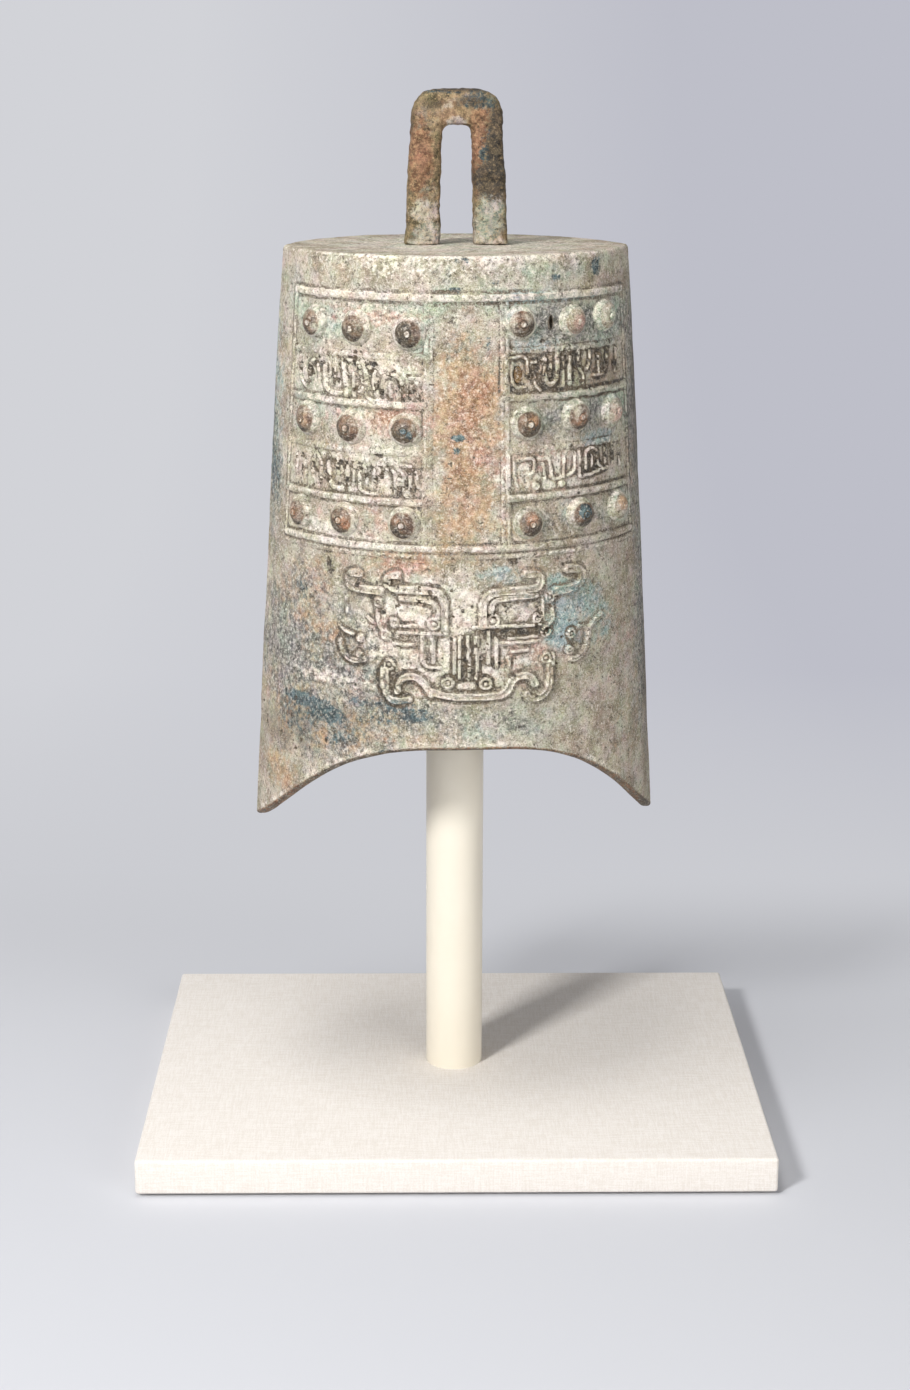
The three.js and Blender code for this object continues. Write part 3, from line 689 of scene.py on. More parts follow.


# The patina's areas on the photographed face, with long strips of painted shade along its right edge.
FRONT_AREAS = areas_of({
    Tone.TAN: (
        (-51, 9, 32, 8, 0.4), (0, 88, 19, 56, 0.85), (49, 56, 32, 12, 0.6), (-61, 92, 21, 4, 0.45),
        (-44, 128, 16, 7, 0.45), (29, 131, 14, 8, 0.45), (-76, 179, 18, 27, 0.6), (-68, 235, 22, 10, 0.5),
        (-91, 264, 10, 15, 0.55), (-25, 144, 23, 8, 0.35), (31, 151, 19, 8, 0.35), (3, 233, 40, 6, 0.35),
        (86, 237, 16, 34, 0.3), (-58, 214, 46, 34, 0.45), (-74, 232, 24, 16, 0.5), (-44, 150, 30, 10, 0.35),
    ),
    Tone.RUST: (
        (-63, 25, 8, 2, 0.45), (0, 25, 8, 4, 0.35), (3, 68, 13, 20, 0.5), (-1, 94, 14, 20, 0.45),
        (-5, 110, 11, 10, 0.35), (-38, 76, 10, 6, 0.5), (-81, 128, 6, 8, 0.45), (-48, 122, 14, 3, 0.35),
        (-32, 147, 14, 5, 0.4), (-72, 164, 8, 14, 0.5), (-66, 187, 10, 8, 0.45), (-65, 199, 8, 2, 0.4),
        (-39, 236, 6, 2, 0.5), (-95, 221, 6, 13, 0.3), (31, 55, 10, 6, 0.35), (67, 64, 12, 6, 0.3),
        (91, 123, 7, 20, 0.35),
    ),
    Tone.CRUST: (
        (-50, 20, 36, 4, 0.85), (3, 20, 12, 2, 0.4), (49, 19, 30, 2, 0.5), (-41, 33, 21, 10, 0.25),
        (-51, 59, 33, 13, 0.8), (-36, 84, 17, 12, 0.35), (-51, 105, 33, 13, 0.78), (-67, 135, 18, 5, 0.5),
        (-50, 139, 34, 4, 0.8), (0, 140, 18, 2, 0.3), (57, 144, 22, 2, 0.4), (49, 50, 30, 2, 0.35),
        (45, 104, 30, 11, 0.85), (29, 31, 8, 6, 0.35), (19, 109, 3, 28, 0.35), (-56, 209, 26, 4, 0.45),
        (-25, 178, 28, 26, 0.8), (5, 186, 34, 28, 0.85), (-34, 157, 21, 4, 0.35), (-91, 219, 6, 10, 0.3),
        (0, 3, 82, 9, 0.4), (0, 0, 84, 1.4, 0.7), (-50, 30, 38, 16, 0.1), (-22, 214, 16, 5, 0.4),
        (-74, 206, 14, 5, 0.3), (14, 120, 4, 20, 0.25),
    ),
    Tone.VERDIGRIS: (
        (45, 8, 27, 6, 0.5), (23, 31, 7, 8, 0.5), (75, 32, 13, 12, 0.55), (-68, 34, 14, 9, 0.4),
        (-76, 80, 12, 8, 0.35), (82, 83, 11, 12, 0.5), (81, 125, 11, 12, 0.4), (-80, 18, 8, 12, 0.4),
        (11, 186, 24, 12, 0.3), (70, 163, 14, 12, 0.35), (-20, 12, 62, 12, 0.35), (-40, 28, 44, 8, 0.5),
        (49, 57, 32, 12, 0.4), (-20, 36, 8, 14, 0.6), (-74, 60, 10, 22, 0.5), (-60, 76, 20, 6, 0.45),
        (24, 20, 40, 8, 0.4), (60, 40, 30, 8, 0.45), (60, 72, 30, 8, 0.4), (-60, 168, 30, 14, 0.35),
        (30, 226, 50, 16, 0.35), (-70, 216, 18, 10, 0.35), (0, 228, 40, 10, 0.3),
    ),
    Tone.TURQUOISE: (
        (24, 19, 18, 4, 0.6), (38, 35, 9, 9, 0.6), (68, 90, 16, 6, 0.5), (54, 124, 10, 8, 0.5),
        (-90, 70, 4, 60, 0.5), (16, 153, 13, 6, 0.6), (57, 166, 15, 10, 0.6), (48, 182, 11, 13, 0.8),
        (68, 182, 13, 13, 0.5), (31, 168, 12, 8, 0.35), (8, 231, 26, 6, 0.35), (-50, 20, 34, 3, 0.35),
        (46, 21, 36, 3, 0.5), (30, 42, 20, 5, 0.4), (44, 158, 6, 5, 0.6),
    ),
    Tone.PINK: (
        (40, 104, 26, 12, 0.7), (2, 84, 18, 50, 0.4), (-30, 178, 22, 16, 0.55), (-34, 148, 20, 8, 0.5),
        (24, 194, 22, 14, 0.55), (-40, 206, 30, 9, 0.5), (-30, 66, 14, 8, 0.4), (-44, 30, 26, 4, 0.4),
        (76, 200, 20, 40, 0.3), (-30, 80, 16, 8, 0.3), (-50, 80, 36, 9, 0.5), (-54, 127, 34, 9, 0.45),
        (-48, 28, 34, 8, 0.35), (-58, 205, 18, 6, 0.35),
    ),
    Tone.GREY_FILM_AND_SHADE: (
        (-10, 8, 8, 8, 0.5), (-47, 7, 23, 6, 0.3), (40, 30, 12, 7, 0.5), (-5, 41, 10, 13, 0.5),
        (54, 79, 36, 10, 0.6), (56, 128, 34, 9, 0.42), (49, 103, 30, 10, 0.12), (-87, 31, 4, 18, 0.4),
        # Painted shade: the long strips at across 91 to 98 darken the right edge, which turns away from the
        # light.
        (-89, 194, 11, 25, 0.65), (-68, 198, 12, 12, 0.35), (3, 223, 40, 12, 0.35), (95, 175, 9, 87, 0.45),
        (32, 231, 29, 10, 0.3), (-81, 158, 10, 12, 0.35), (-62, 210, 48, 56, 0.62), (58, 34, 36, 13, 0.68),
        (91, 60, 8, 70, 0.8), (-93, 100, 5, 60, 0.6), (98, 130, 7, 120, 0.5),
    ),
    Tone.TEAL: (
        (-6, 16, 4, 2, 0.8), (-1, 2, 7, 2, 0.6), (65, 7, 3, 5, 0.75), (44, 11, 3, 2, 0.8),
        (14, 12, 3, 2, 0.5), (-92, 104, 3, 34, 0.6), (-91, 57, 3, 12, 0.35), (-4, 86, 5, 2, 0.85),
        (-5, 92, 3, 2, 0.8), (11, 41, 3, 4, 0.45), (-79, 167, 4, 7, 0.5), (-78, 222, 12, 4, 0.88),
        (-66, 227, 9, 4, 0.85), (-24, 223, 9, 4, 0.9), (-56, 234, 14, 5, 0.5), (-78, 230, 14, 6, 0.5),
        (-44, 226, 12, 5, 0.55), (-52, 218, 9, 3, 0.6), (-84, 238, 6, 4, 0.5), (-64, 240, 9, 3, 0.5),
        (-34, 218, 12, 4, 0.72), (-40, 242, 8, 2, 0.5),
    ),
    Tone.DARK_PATINA_AND_SHADE: (
        (49, 55, 30, 12, 0.2), (41, 32.2, 1.6, 4.2, 1), (71, 60, 11, 12, 0.28), (70, 104, 12, 12, 0.2),
        (-11, 11, 7, 8, 0.25), (-66, 152, 2, 7, 0.6), (-70, 171, 6, 12, 0.3), (23, 147, 3, 2, 0.8),
        # Painted shade: the long strips at across 93 and 101 darken the right edge, which turns away from the
        # light.
        (-87, 245, 19, 15, 0.35), (-58, 227, 12, 8, 0.15), (65, 84, 9, 6, 0.3), (101, 214, 6, 84, 0.52),
        (23, 181, 18, 3, 0.4), (3, 202, 12, 8, 0.25), (-62, 228, 44, 32, 0.2), (27, 182, 8, 2, 0.9),
        (0, 190, 5, 14, 0.25), (93, 60, 6, 70, 0.62),
    ),
})

# Where the photographed face is pitted.
FRONT_PITS = tuple(Area(*oval) for oval in (
    (-57, 56, 13, 10, 0.95), (-73, 55, 9, 9, 0.88), (-49, 51, 8, 8, 0.8), (-32, 62, 15, 10, 0.85),
    (-75, 104, 12, 10, 0.82), (-52, 102, 5, 7, 0.95), (-34, 106, 14, 10, 0.95), (-61, 106, 13, 10, 0.85),
    (49, 54, 30, 12, 0.8), (65, 103, 14, 12, 0.3), (-16, 56, 2, 17, 0.6), (19, 56, 2, 17, 0.5),
    (-48, 152, 23, 12, 0.35), (-28, 162, 23, 12, 0.35), (-66, 152, 3, 8, 0.7), (-80, 240, 26, 18, 0.55),
    (3, 182, 60, 40, 0.36), (-4, 38, 12, 17, 0.3), (0, 120, 100, 110, 0.2), (-63.4, 61, 1.8, 3.4, 1),
    (-59.8, 59, 1.3, 2.6, 1), (-58.4, 52.4, 2.2, 2, 1), (-47.4, 51.6, 4.4, 1.6, 1), (-50, 59.6, 1, 1, 1),
    (-46.4, 57, 1.8, 2, 1), (-47.6, 66.6, 0.9, 0.9, 1), (-30.4, 60.6, 0.9, 4, 1), (-31, 58.6, 1, 0.9, 1),
    (-26.2, 69, 1.2, 1, 1), (-28.8, 69.2, 0.9, 1, 1), (-66, 49, 5, 2, 0.8), (-37, 62.6, 1.2, 1, 1),
    (-51.6, 104, 2, 3.6, 1), (-52.6, 100, 3, 1.2, 1), (-41, 95.6, 1.8, 1, 1), (-59.4, 108.6, 0.9, 1.1, 1),
    (-56.4, 113, 1.8, 1.6, 1), (-33, 107.4, 1.4, 2.2, 1), (-24, 111, 0.8, 2.6, 1), (-77, 105, 0.8, 3.4, 1),
    (-29, 114.4, 3.6, 1.3, 1), (-79, 99.6, 1.6, 1, 1), (-47.6, 109.4, 1.6, 1.2, 1),
    (-25.4, 104, 0.9, 0.9, 1), (36, 173, 4, 5, 0.9), (39, 181, 4, 2.6, 0.9), (41.4, 163, 2.4, 1.4, 0.9),
    (0, 205, 5, 7, 0.9), (-3.6, 209, 2, 4, 0.9), (-1, 193, 1, 6, 0.7), (4.6, 190, 1, 7, 0.8),
    (-42.6, 165.6, 2, 0.9, 1), (-57.2, 159.6, 0.8, 1.8, 0.9),
))

# The loop's areas, with heights above the crown: ochre on its left leg, orange and blue-black on its right.
LOOP_AREAS = areas_of({
    Tone.TAN: (
        (-8, 62, 14, 9, 0.8), (4, 66, 16, 7, 0.8), (-17, 34, 8, 20, 0.4), (17, 8, 9, 8, 0.5),
    ),
    Tone.RUST: (
        (-18, 46, 7, 22, 0.75), (-17, 32, 7, 14, 0.6), (10, 46, 4.5, 20, 0.95), (13, 60, 8, 9, 0.75),
    ),
    Tone.VERDIGRIS: (
        (-15, 22, 7, 9, 0.6), (-14, 4, 9, 8, 0.9), (17, 14, 9, 14, 0.85), (-10, 66, 9, 5, 0.3),
    ),
    Tone.TURQUOISE: (
        (-12, 2, 6, 5, 0.6), (17, 21, 7, 9, 0.4),
    ),
    Tone.PINK: (
        (-16, 12, 9, 12, 0.25), (11, 13, 3, 5, 0.5),
    ),
    Tone.GREY_FILM_AND_SHADE: (
        (-15, 62, 9, 9, 0.4), (8, 71, 12, 5, 0.6), (-12, 26, 5, 14, 0.4), (17, 28, 9, 9, 0.6),
    ),
    Tone.CRUST: (
        (-16, 17, 8, 6, 0.75), (-14, 6, 9, 5, 0.7), (18, 20, 6, 8, 0.7), (0, 60, 5, 3, 1),
        (-15, 0, 12, 4, 0.7), (16, 1, 12, 5, 0.7), (-5, 69, 6, 3, 0.5), (10, 8, 5, 6, 0.5),
    ),
    Tone.TEAL: (
        (20, 48, 7, 20, 0.95), (13.8, 44.5, 3.4, 3.4, 1), (10, 70, 12, 4, 0.7), (0, 76, 24, 2.5, 0.8),
    ),
    Tone.DARK_PATINA_AND_SHADE: (
        (21, 50, 6.5, 20, 0.95), (15, 34, 9, 8, 0.95), (0, 77, 26, 3, 0.85), (-25, 62, 5, 14, 0.6),
        (-12, 68, 8, 3, 0.6), (19, 26, 7, 6, 0.55), (-21, 4, 4, 5, 0.4), (8, 70, 9, 3, 0.5),
    ),
    Tone.WORN: (
        (-18, 40, 8, 26, 0.3), (6, 63, 12, 5, 0.35),
    ),
})

# Where the hidden face is pitted.
BACK_PITS: tuple[Area, ...] = (
    Area(42, 60, 26, 12, 0.7),
    Area(-46, 104, 30, 12, 0.6),
    Area(0, 120, 100, 110, 0.22),
)

# On the crown's top a depth runs inwards from the wall, below 0. Both faces have the same areas there.
# Pale crust and verdigris cover the crown's top; they are laid on thickly, partly as painted light from above.
CROWN_AREAS = areas_of({Tone.CRUST: ((0, -50, 95, 50, 0.5),), Tone.VERDIGRIS: ((0, -62, 95, 48, 0.45),)})


def back_areas() -> Areas:
    """The patina's areas on the hidden face, spread in the way of the photographed one."""
    draw = np.random.default_rng(27)
    found = areas_of({Tone.VERDIGRIS: ((0, 6, 90, 14, 0.5),), Tone.TAN: ((0, 85, 18, 55, 0.6),)})
    plenty = ((Tone.VERDIGRIS, 12, 30), (Tone.TURQUOISE, 9, 16), (Tone.GREY_FILM_AND_SHADE, 7, 26), (Tone.CRUST, 14, 26),
              (Tone.TAN, 11, 30), (Tone.PINK, 8, 24), (Tone.RUST, 9, 14), (Tone.TEAL, 10, 9),
              (Tone.DARK_PATINA_AND_SHADE, 9, 16))
    for tone, count, width in plenty:
        for _ in range(count):
            across, depth = draw.uniform(-85, 85), draw.uniform(12, 270)
            wide = draw.uniform(0.4, 1.0) * width
            oval = Area(across, depth, wide, wide * draw.uniform(0.3, 0.7), draw.uniform(0.35, 0.75))
            found[tone] = (*found.get(tone, ()), oval)
    return found


@dataclass(frozen=True)
class Weathering:
    """The stains, crusts and pits that burial left on one face of the bell, and the painted shade in its
    hollows.

    Each area asks for a share of its tone, and noise decides which grains of the surface get it.
    """

    form: BellForm
    face: Face
    layers: tuple[Areas, ...]
    pits: tuple[Area, ...]
    grain: Grain
    pit_depth: float = 0.75
    swell: float = 0.32
    crown_skin: float = 1.0
    hollow_shade_range: tuple[float, float] = (0.03, 0.22)
    crest_hollow: tuple[float, float] = (-0.12, -0.6)
    lip_rise: tuple[float, float] = (2.6, 1.2)
    rim_rise: tuple[float, float] = (6.5, 3.5)
    broad_mm: float = 26.0
    close_mm: float = 4.2
    blot_mm: float = 11.0

    def pitting(self, places: Array, across: Array, depth: Array) -> Array:
        """How deep each place is eaten, from 0 to 1.

        Args:
            places: Places in the model, in millimetres.
            across: Millimetres across the face.
            depth: Millimetres below the crown.

        Returns:
            A share of the pit's depth for each place.
        """
        wanted = covered(across, depth, self.pits)
        spots = 0.55 * self.grain.at(places + 211.0, 2.6) + 0.45 * self.grain.at(places + 83.0, 1.4)
        return smooth(spots, 0.86 - 0.32 * wanted, 0.92 - 0.32 * wanted)

    def lift(self, places: Array, across: Array, depth: Array) -> Array:
        """How far the worn casting stands off its ideal surface, in millimetres.

        Args:
            places: Places in the model, in millimetres.
            across: Millimetres across the face.
            depth: Millimetres below the crown.

        Returns:
            One height for each place, which may be below 0.
        """
        broad = self.grain.layered(places, self.broad_mm, 2) - 0.5
        close = self.grain.layered(places + 400.0, self.close_mm, 3) - 0.5
        return self.swell * (2.2 * broad + 0.9 * close) - self.pit_depth * self.pitting(places, across, depth)

    def tones(self, places: Array, hollow: Array) -> dict[Tone, Array]:
        """The share of each tone at each place.

        Args:
            places: Places in the model, in millimetres.
            hollow: How much lower each place lies than what is round it.

        Returns:
            Shares from 0 to 1 by tone.
        """
        own = self.form.unplaced(places, self.face)
        across, depth = own[:, 0], -own[:, 2]
        breadth, radius = self.form.arc(depth)[1:]
        wall = radius - breadth - np.sqrt(np.maximum(radius**2 - across**2, 0))
        reach = np.where(depth < self.crown_skin, depth - (own[:, 1] - wall), depth)
        found = {}
        for number, tone in enumerate(Tone):
            blots = self.grain.layered(places + 900.0 + 61.0 * number, self.blot_mm, 4)
            areas = sum((layer.get(tone, ()) for layer in self.layers), ())
            found[tone] = np.clip(covered(across, reach, areas) * (0.35 + 1.3 * blots), 0, 1)
        # Painted shade: the hollows beside raised lines take the dark tone, stronger where dark patina lies,
        # and lose some crust; the raised crests lose the dark tone and take pale crust.
        hollow_shade, crest = smooth(hollow, *self.hollow_shade_range), smooth(hollow, *self.crest_hollow)
        patchy = self.grain.layered(places + 333.0, 9.0, 3)
        above = self.form.mouth_depth(across / self.form.half_length(depth)) - depth
        lip = smooth(above, *self.lip_rise)
        rim = smooth(above, *self.rim_rise) * (1 - lip) * smooth(patchy, 0.35, 0.6)
        hollow_shade_gain = 0.6 + 0.4 * np.sqrt(found[Tone.DARK_PATINA_AND_SHADE])
        dark_patina_and_shade = found[Tone.DARK_PATINA_AND_SHADE] * (1 - 0.9 * crest) + hollow_shade * hollow_shade_gain * (0.5 + 0.9 * patchy) + 0.6 * lip
        found[Tone.DARK_PATINA_AND_SHADE] = np.clip(dark_patina_and_shade + self.pitting(places, across, depth), 0, 1)
        found[Tone.CRUST] = np.clip(found[Tone.CRUST] * (1 - 0.4 * hollow_shade) + 0.55 * crest + 0.6 * rim, 0, 1)
        found[Tone.RUST] = np.clip(found[Tone.RUST] + 0.7 * lip, 0, 1)
        return found


def feed(tree: bpy.types.NodeTree, node: bpy.types.Node, inputs: dict[int | str, Input]) -> None:
    """Gives a node's sockets, by name or number, their values or the sockets that feed them.

    Args:
        tree: The node tree.
        node: The node.
        inputs: Sockets by name or number, each with a value or with the socket that feeds it.
    """
    for key, value in inputs.items():
        if isinstance(value, Socket):
            tree.links.new(value, node.inputs[key])
        else:
            node.inputs[key].default_value = value


def add(tree: bpy.types.NodeTree, kind: str, inputs: dict[int | str, Input] | None = None, out: int | str = 0,
        **settings: object) -> Socket:
    """Adds a shader node with its settings and links.

    Args:
        tree: The node tree.
        kind: The node's type name, after ShaderNode.
        inputs: Sockets by name or number, each with a value or with the socket that feeds it.
        out: The name or number of the wanted output.
        settings: The node's own properties.

    Returns:
        The output.
    """
    made = tree.nodes.new("ShaderNode" + kind)
    for name, value in settings.items():
        setattr(made, name, value)
    feed(tree, made, inputs or {})
    return made.outputs[out]


class Recipe:
    """A new node material, drawn in the piece's own coordinates."""

    def __init__(self, name: str) -> None:
        """Makes the material.

        Args:
            name: Its name, after the material that it shows.
        """
        self.material = bpy.data.materials.new(name)
        self.material.use_nodes = True
        self.tree = self.material.node_tree
        self.shader = next(node for node in self.tree.nodes if node.type == "BSDF_PRINCIPLED")
        self.place = add(self.tree, "TexCoord", out="Object")

    def noise(self, size_mm: float | tuple[float, ...], out: int = 0, **inputs: float) -> Socket:
        """Noise in space.

        Args:
            size_mm: The size of its largest grains, or their sizes along X, Y and Z.
            out: 0 for its value and 1 for its hues.
            inputs: The noise node's other inputs.

        Returns:
            The output.
        """
        place, scale = self.place, 1.0
        if isinstance(size_mm, tuple):
            scales = tuple(1 / (size * MM) for size in size_mm)
            place = add(self.tree, "Mapping", {"Vector": place, "Scale": scales})
        else:
            scale = 1 / (size_mm * MM)
        return add(self.tree, "TexNoise", {"Vector": place, "Scale": scale, **inputs}, out)

    def eased(self, value: Socket, low: float, high: float) -> Socket:
        """Eases a value from 0 at low to 1 at high."""
        return add(self.tree, "MapRange", {0: value, 1: low, 2: high}, interpolation_type="SMOOTHSTEP")

    def math(self, operation: str, *values: Input) -> Socket:
        """Works out the sum, the product or the like of some values."""
        return add(self.tree, "Math", dict(enumerate(values)), operation=operation)

    def blend(self, share: Input, under: Input, over: Input) -> Socket:
        """Goes from one value to another."""
        return add(self.tree, "Mix", {0: share, 2: under, 3: over})

    def mix(self, share: Input, under: Input, over: Input, **settings: str) -> Socket:
        """Lays one colour over another."""
        return add(self.tree, "Mix", {0: share, 6: under, 7: over}, 2, data_type="RGBA", **settings)

    def shade(self, share: Socket, dark: str, light: str) -> Socket:
        """Goes from a dark hex colour to a light one."""
        return self.mix(share, linear(dark), linear(light))

    def finish(self, colour: Socket, height: Socket, strength: Input, rise_mm: float,
               inputs: dict[int | str, Input]) -> bpy.types.Material:
        """Joins the colour and a bump to the shader.

        Args:
            colour: The colour.
            height: The bump's height from 0 to 1.
            strength: The bump's strength.
            rise_mm: How high the bump's highest places are.
            inputs: The shader's other inputs.

        Returns:
            The material.
        """
        bump = add(self.tree, "Bump", {"Strength": strength, "Distance": rise_mm * MM, "Height": height})
        feed(self.tree, self.shader, {"Base Color": colour, "Normal": bump, **inputs})
        return self.material


@dataclass(frozen=True)
class ToneLook:
    """How one tone of the patina looks: its two hex colours, how large its grains are and how matt it is.

    Its edge says how softly its grains end, and calm how far it hides the speckle.
    """

    tone: Tone
    light: str
    dark: str
    grain_mm: float
    edge: float
    roughness: float
    calm: float = 0.0


@dataclass(frozen=True)
class BurialPatina:
    """Tin bronze, sand-rough from its clay mould and long buried.

    Its oxides and carbonates make a dry, matt, finely speckled skin of grey-green and tan, with white and
    teal crusts. Only the rubbed bosses and pits show dark metal with some gloss.
    """

    name: str = "cast_tin_bronze_burial_patina"
    ground_light: str = "#C8BDAA"
    ground_dark: str = "#978A73"
    speckle_light: str = "#EFE8DA"
    speckle_dark: str = "#3F3526"
    speckle_mm: float = 1.5
    fleck_mm: float = 1.95
    clot_mm: float = 3.0
    dust_mm: float = 0.6
    blot_mm: float = 14.0
    hue_mm: float = 10.0
    dim: float = 0.93
    ground_roughness: float = 0.84
    looks: tuple[ToneLook, ...] = (
        ToneLook(Tone.TAN, "#C6A781", "#997B5B", 5.0, 0.6, 0.85, 0.25),
        ToneLook(Tone.VERDIGRIS, "#C6CDB9", "#97A391", 5.0, 0.6, 0.88),
        ToneLook(Tone.TURQUOISE, "#B4C3BE", "#809591", 4.0, 0.55, 0.86),
        ToneLook(Tone.PINK, "#D8B8A6", "#B08E80", 5.0, 0.6, 0.86),
        ToneLook(Tone.WORN, "#7E5D43", "#432D1F", 4.0, 0.5, 0.4, 0.4),
        ToneLook(Tone.RUST, "#BC8C6A", "#80583E", 4.0, 0.6, 0.85, 0.2),
        ToneLook(Tone.GREY_FILM_AND_SHADE, "#A09E94", "#4C4B46", 3.6, 0.5, 0.82),
        ToneLook(Tone.CRUST, "#EDE4D5", "#C2B6A2", 3.0, 0.5, 0.92),
        ToneLook(Tone.TEAL, "#5C7274", "#1C2E34", 2.2, 0.3, 0.7, 0.4),
        # The dark tone's colours serve both for dark patina and for painted shade.
        ToneLook(Tone.DARK_PATINA_AND_SHADE, "#5F4F38", "#221B12", 1.5, 0.18, 0.6, 0.45),
    )

    def material(self) -> bpy.types.Material:
        """Builds the finish, which reads the tone attributes of a piece."""
        recipe = Recipe(self.name)
        blots, clots = self._grains(recipe, self.blot_mm), self._grains(recipe, self.clot_mm)
        speckle, flecks = self._grains(recipe, self.speckle_mm, 4.0), self._grains(recipe, self.fleck_mm, 4.0)
        dust = self._grains(recipe, self.dust_mm, 2.0)
        clots = recipe.eased(clots, 0.38, 0.6)
        colour = self._tint(recipe, recipe.eased(blots, 0.38, 0.62), self.ground_dark, self.ground_light)
        rough: Input = self.ground_roughness
        loud: Input = 1.0
        for look in self.looks:
            share = add(recipe.tree, "Attribute", out="Fac", attribute_name=look.tone.value)
            grains = recipe.eased(self._grains(recipe, look.grain_mm), 0.28, 0.72)
            wanted = recipe.math("MULTIPLY_ADD", share, 1 + 2 * look.edge, -1 - look.edge)
            mask = recipe.eased(recipe.math("ADD", grains, wanted), -look.edge, look.edge)
            colour = recipe.mix(mask, colour, self._tint(recipe, clots, look.dark, look.light))
            rough = recipe.blend(mask, rough, look.roughness)
            loud = recipe.blend(mask, loud, 1 - look.calm)
        for size_mm, share in ((self.hue_mm, 0.3), (self.speckle_mm, 0.08)):
            hues = recipe.noise(size_mm, 1, Detail=5.0, Roughness=0.7)
            colour = recipe.mix(recipe.math("MULTIPLY", loud, share), colour, hues, blend_type="OVERLAY")
        for noise, low, high, strength, hex_colour in (
            (speckle, 0.53, 0.66, 0.6, self.speckle_light),
            (flecks, 0.47, 0.32, 0.85, self.speckle_dark),
            (dust, 0.5, 0.7, 0.4, self.speckle_light),
            (dust, 0.5, 0.28, 0.65, self.speckle_dark),
        ):
            spread = recipe.math("MULTIPLY", recipe.eased(noise, low, high), strength)
            colour = recipe.mix(recipe.math("MULTIPLY", spread, loud), colour, linear(hex_colour))
        height, strength = recipe.math("ADD", flecks, dust), recipe.math("MULTIPLY", loud, 0.55)
        return recipe.finish(colour, height, strength, 0.5, {"Roughness": rough, "Specular IOR Level": 0.5})

    def _tint(self, recipe: Recipe, share: Socket, dark: str, light: str) -> Socket:
        """Goes between two colours as this casting shows them, darker where its skin is."""
        under, over = ((*(part * self.dim for part in linear(colour)[:3]), 1.0) for colour in (dark, light))
        return recipe.mix(share, under, over)

    @staticmethod
    def _grains(recipe: Recipe, size_mm: float, detail: float = 6.0) -> Socket:
        """Rough-edged grains of a size."""
        return recipe.noise(size_mm, Detail=detail, Roughness=0.68)


@dataclass(frozen=True)
class LinenCloth:
    """Undyed bleached linen, plain woven and stretched over the board.

    Its uneven yarn shows as faint long slubs along both thread directions on a matt off-white ground.
    """

    name: str = "woven_bleached_linen"
    light: str = "#EEE8E1"
    dark: str = "#E2DAD0"
    yarn_mm: float = 0.8  # the real yarn is nearer 0.4 mm, too fine to show in the render
    slub_mm: float = 11.0

    def material(self) -> bpy.types.Material:
        """Builds the finish."""
        recipe = Recipe(self.name)
        total: Input = 0.0
        for long in range(3):
            sizes = tuple(self.slub_mm if axis == long else self.yarn_mm for axis in range(3))
            total = recipe.math("ADD", recipe.noise(sizes, Detail=2.0, Roughness=0.55), total)
        colour = recipe.shade(recipe.eased(total, 1.15, 1.85), self.dark, self.light)
        cloth = {"Roughness": 0.95, "Specular IOR Level": 0.2, "Sheen Weight": 0.15, "Sheen Roughness": 0.5}
        return recipe.finish(colour, total, 0.35, 0.4, cloth)


@dataclass(frozen=True)
class PaintedTube:
    """Cream oil paint, sprayed on a steel tube and rubbed down to a satin shine with a faint orange peel."""

    name: str = "sprayed_satin_cream_paint"
    light: str = "#F0E9D9"
    dark: str = "#EBE2CF"
    cloud_mm: float = 100 / 3
    peel_mm: float = 1.6

    def material(self) -> bpy.types.Material:
        """Builds the finish."""
        recipe = Recipe(self.name)
        colour = recipe.shade(recipe.noise(self.cloud_mm, Detail=3.0), self.dark, self.light)
        return recipe.finish(colour, recipe.noise(self.peel_mm, Detail=2.0), 0.12, 0.2, {"Roughness": 0.38})


@dataclass(frozen=True)
class PressedFelt:
    """Off-white wool felt, pressed in sheets, whose short tangled fibres look soft and matt."""

    name: str = "pressed_wool_felt"
    light: str = "#DAD5CB"
    dark: str = "#C6C0B3"
    fibre_mm: float = 0.7

    def material(self) -> bpy.types.Material:
        """Builds the finish."""
        recipe = Recipe(self.name)
        fibre = recipe.noise(self.fibre_mm, Detail=5.0, Distortion=1.5)
        colour = recipe.shade(fibre, self.dark, self.light)
        return recipe.finish(colour, fibre, 0.6, 0.4, {"Roughness": 1.0, "Sheen Weight": 0.4})


@dataclass(frozen=True)
class RolledSteel:
    """Plain mild steel, cold rolled or turned, with fine straight marks and a dull grey shine."""

    name: str = "cold_rolled_mild_steel"
    light: str = "#A9ABAE"
    dark: str = "#85888C"
    mark_mm: float = 0.5
    mark_length_mm: float = 50 / 3

    def material(self) -> bpy.types.Material:
        """Builds the finish."""
        recipe = Recipe(self.name)
        marks = recipe.noise((self.mark_length_mm, self.mark_mm, self.mark_mm), Detail=3.0)
        rough = add(recipe.tree, "MapRange", {0: marks, 3: 0.32, 4: 0.5})
        colour = recipe.shade(marks, self.dark, self.light)
        return recipe.finish(colour, marks, 0.1, 0.1, {"Roughness": rough, "Metallic": 1.0})


@dataclass(frozen=True)
class BoardWood:
    """Birch plywood, sanded, with pale straight grain along its length."""

    name: str = "sanded_birch_plywood"
    light: str = "#D9BE93"
    dark: str = "#C2A172"
    grain_mm: float = 1.4
    grain_length_mm: float = 70.0

    def material(self) -> bpy.types.Material:
        """Builds the finish."""
        recipe = Recipe(self.name)
        grain = recipe.noise((self.grain_length_mm, self.grain_mm, self.grain_mm), Detail=4.0, Distortion=0.4)
        return recipe.finish(recipe.shade(grain, self.dark, self.light), grain, 0.2, 0.2, {"Roughness": 0.6})


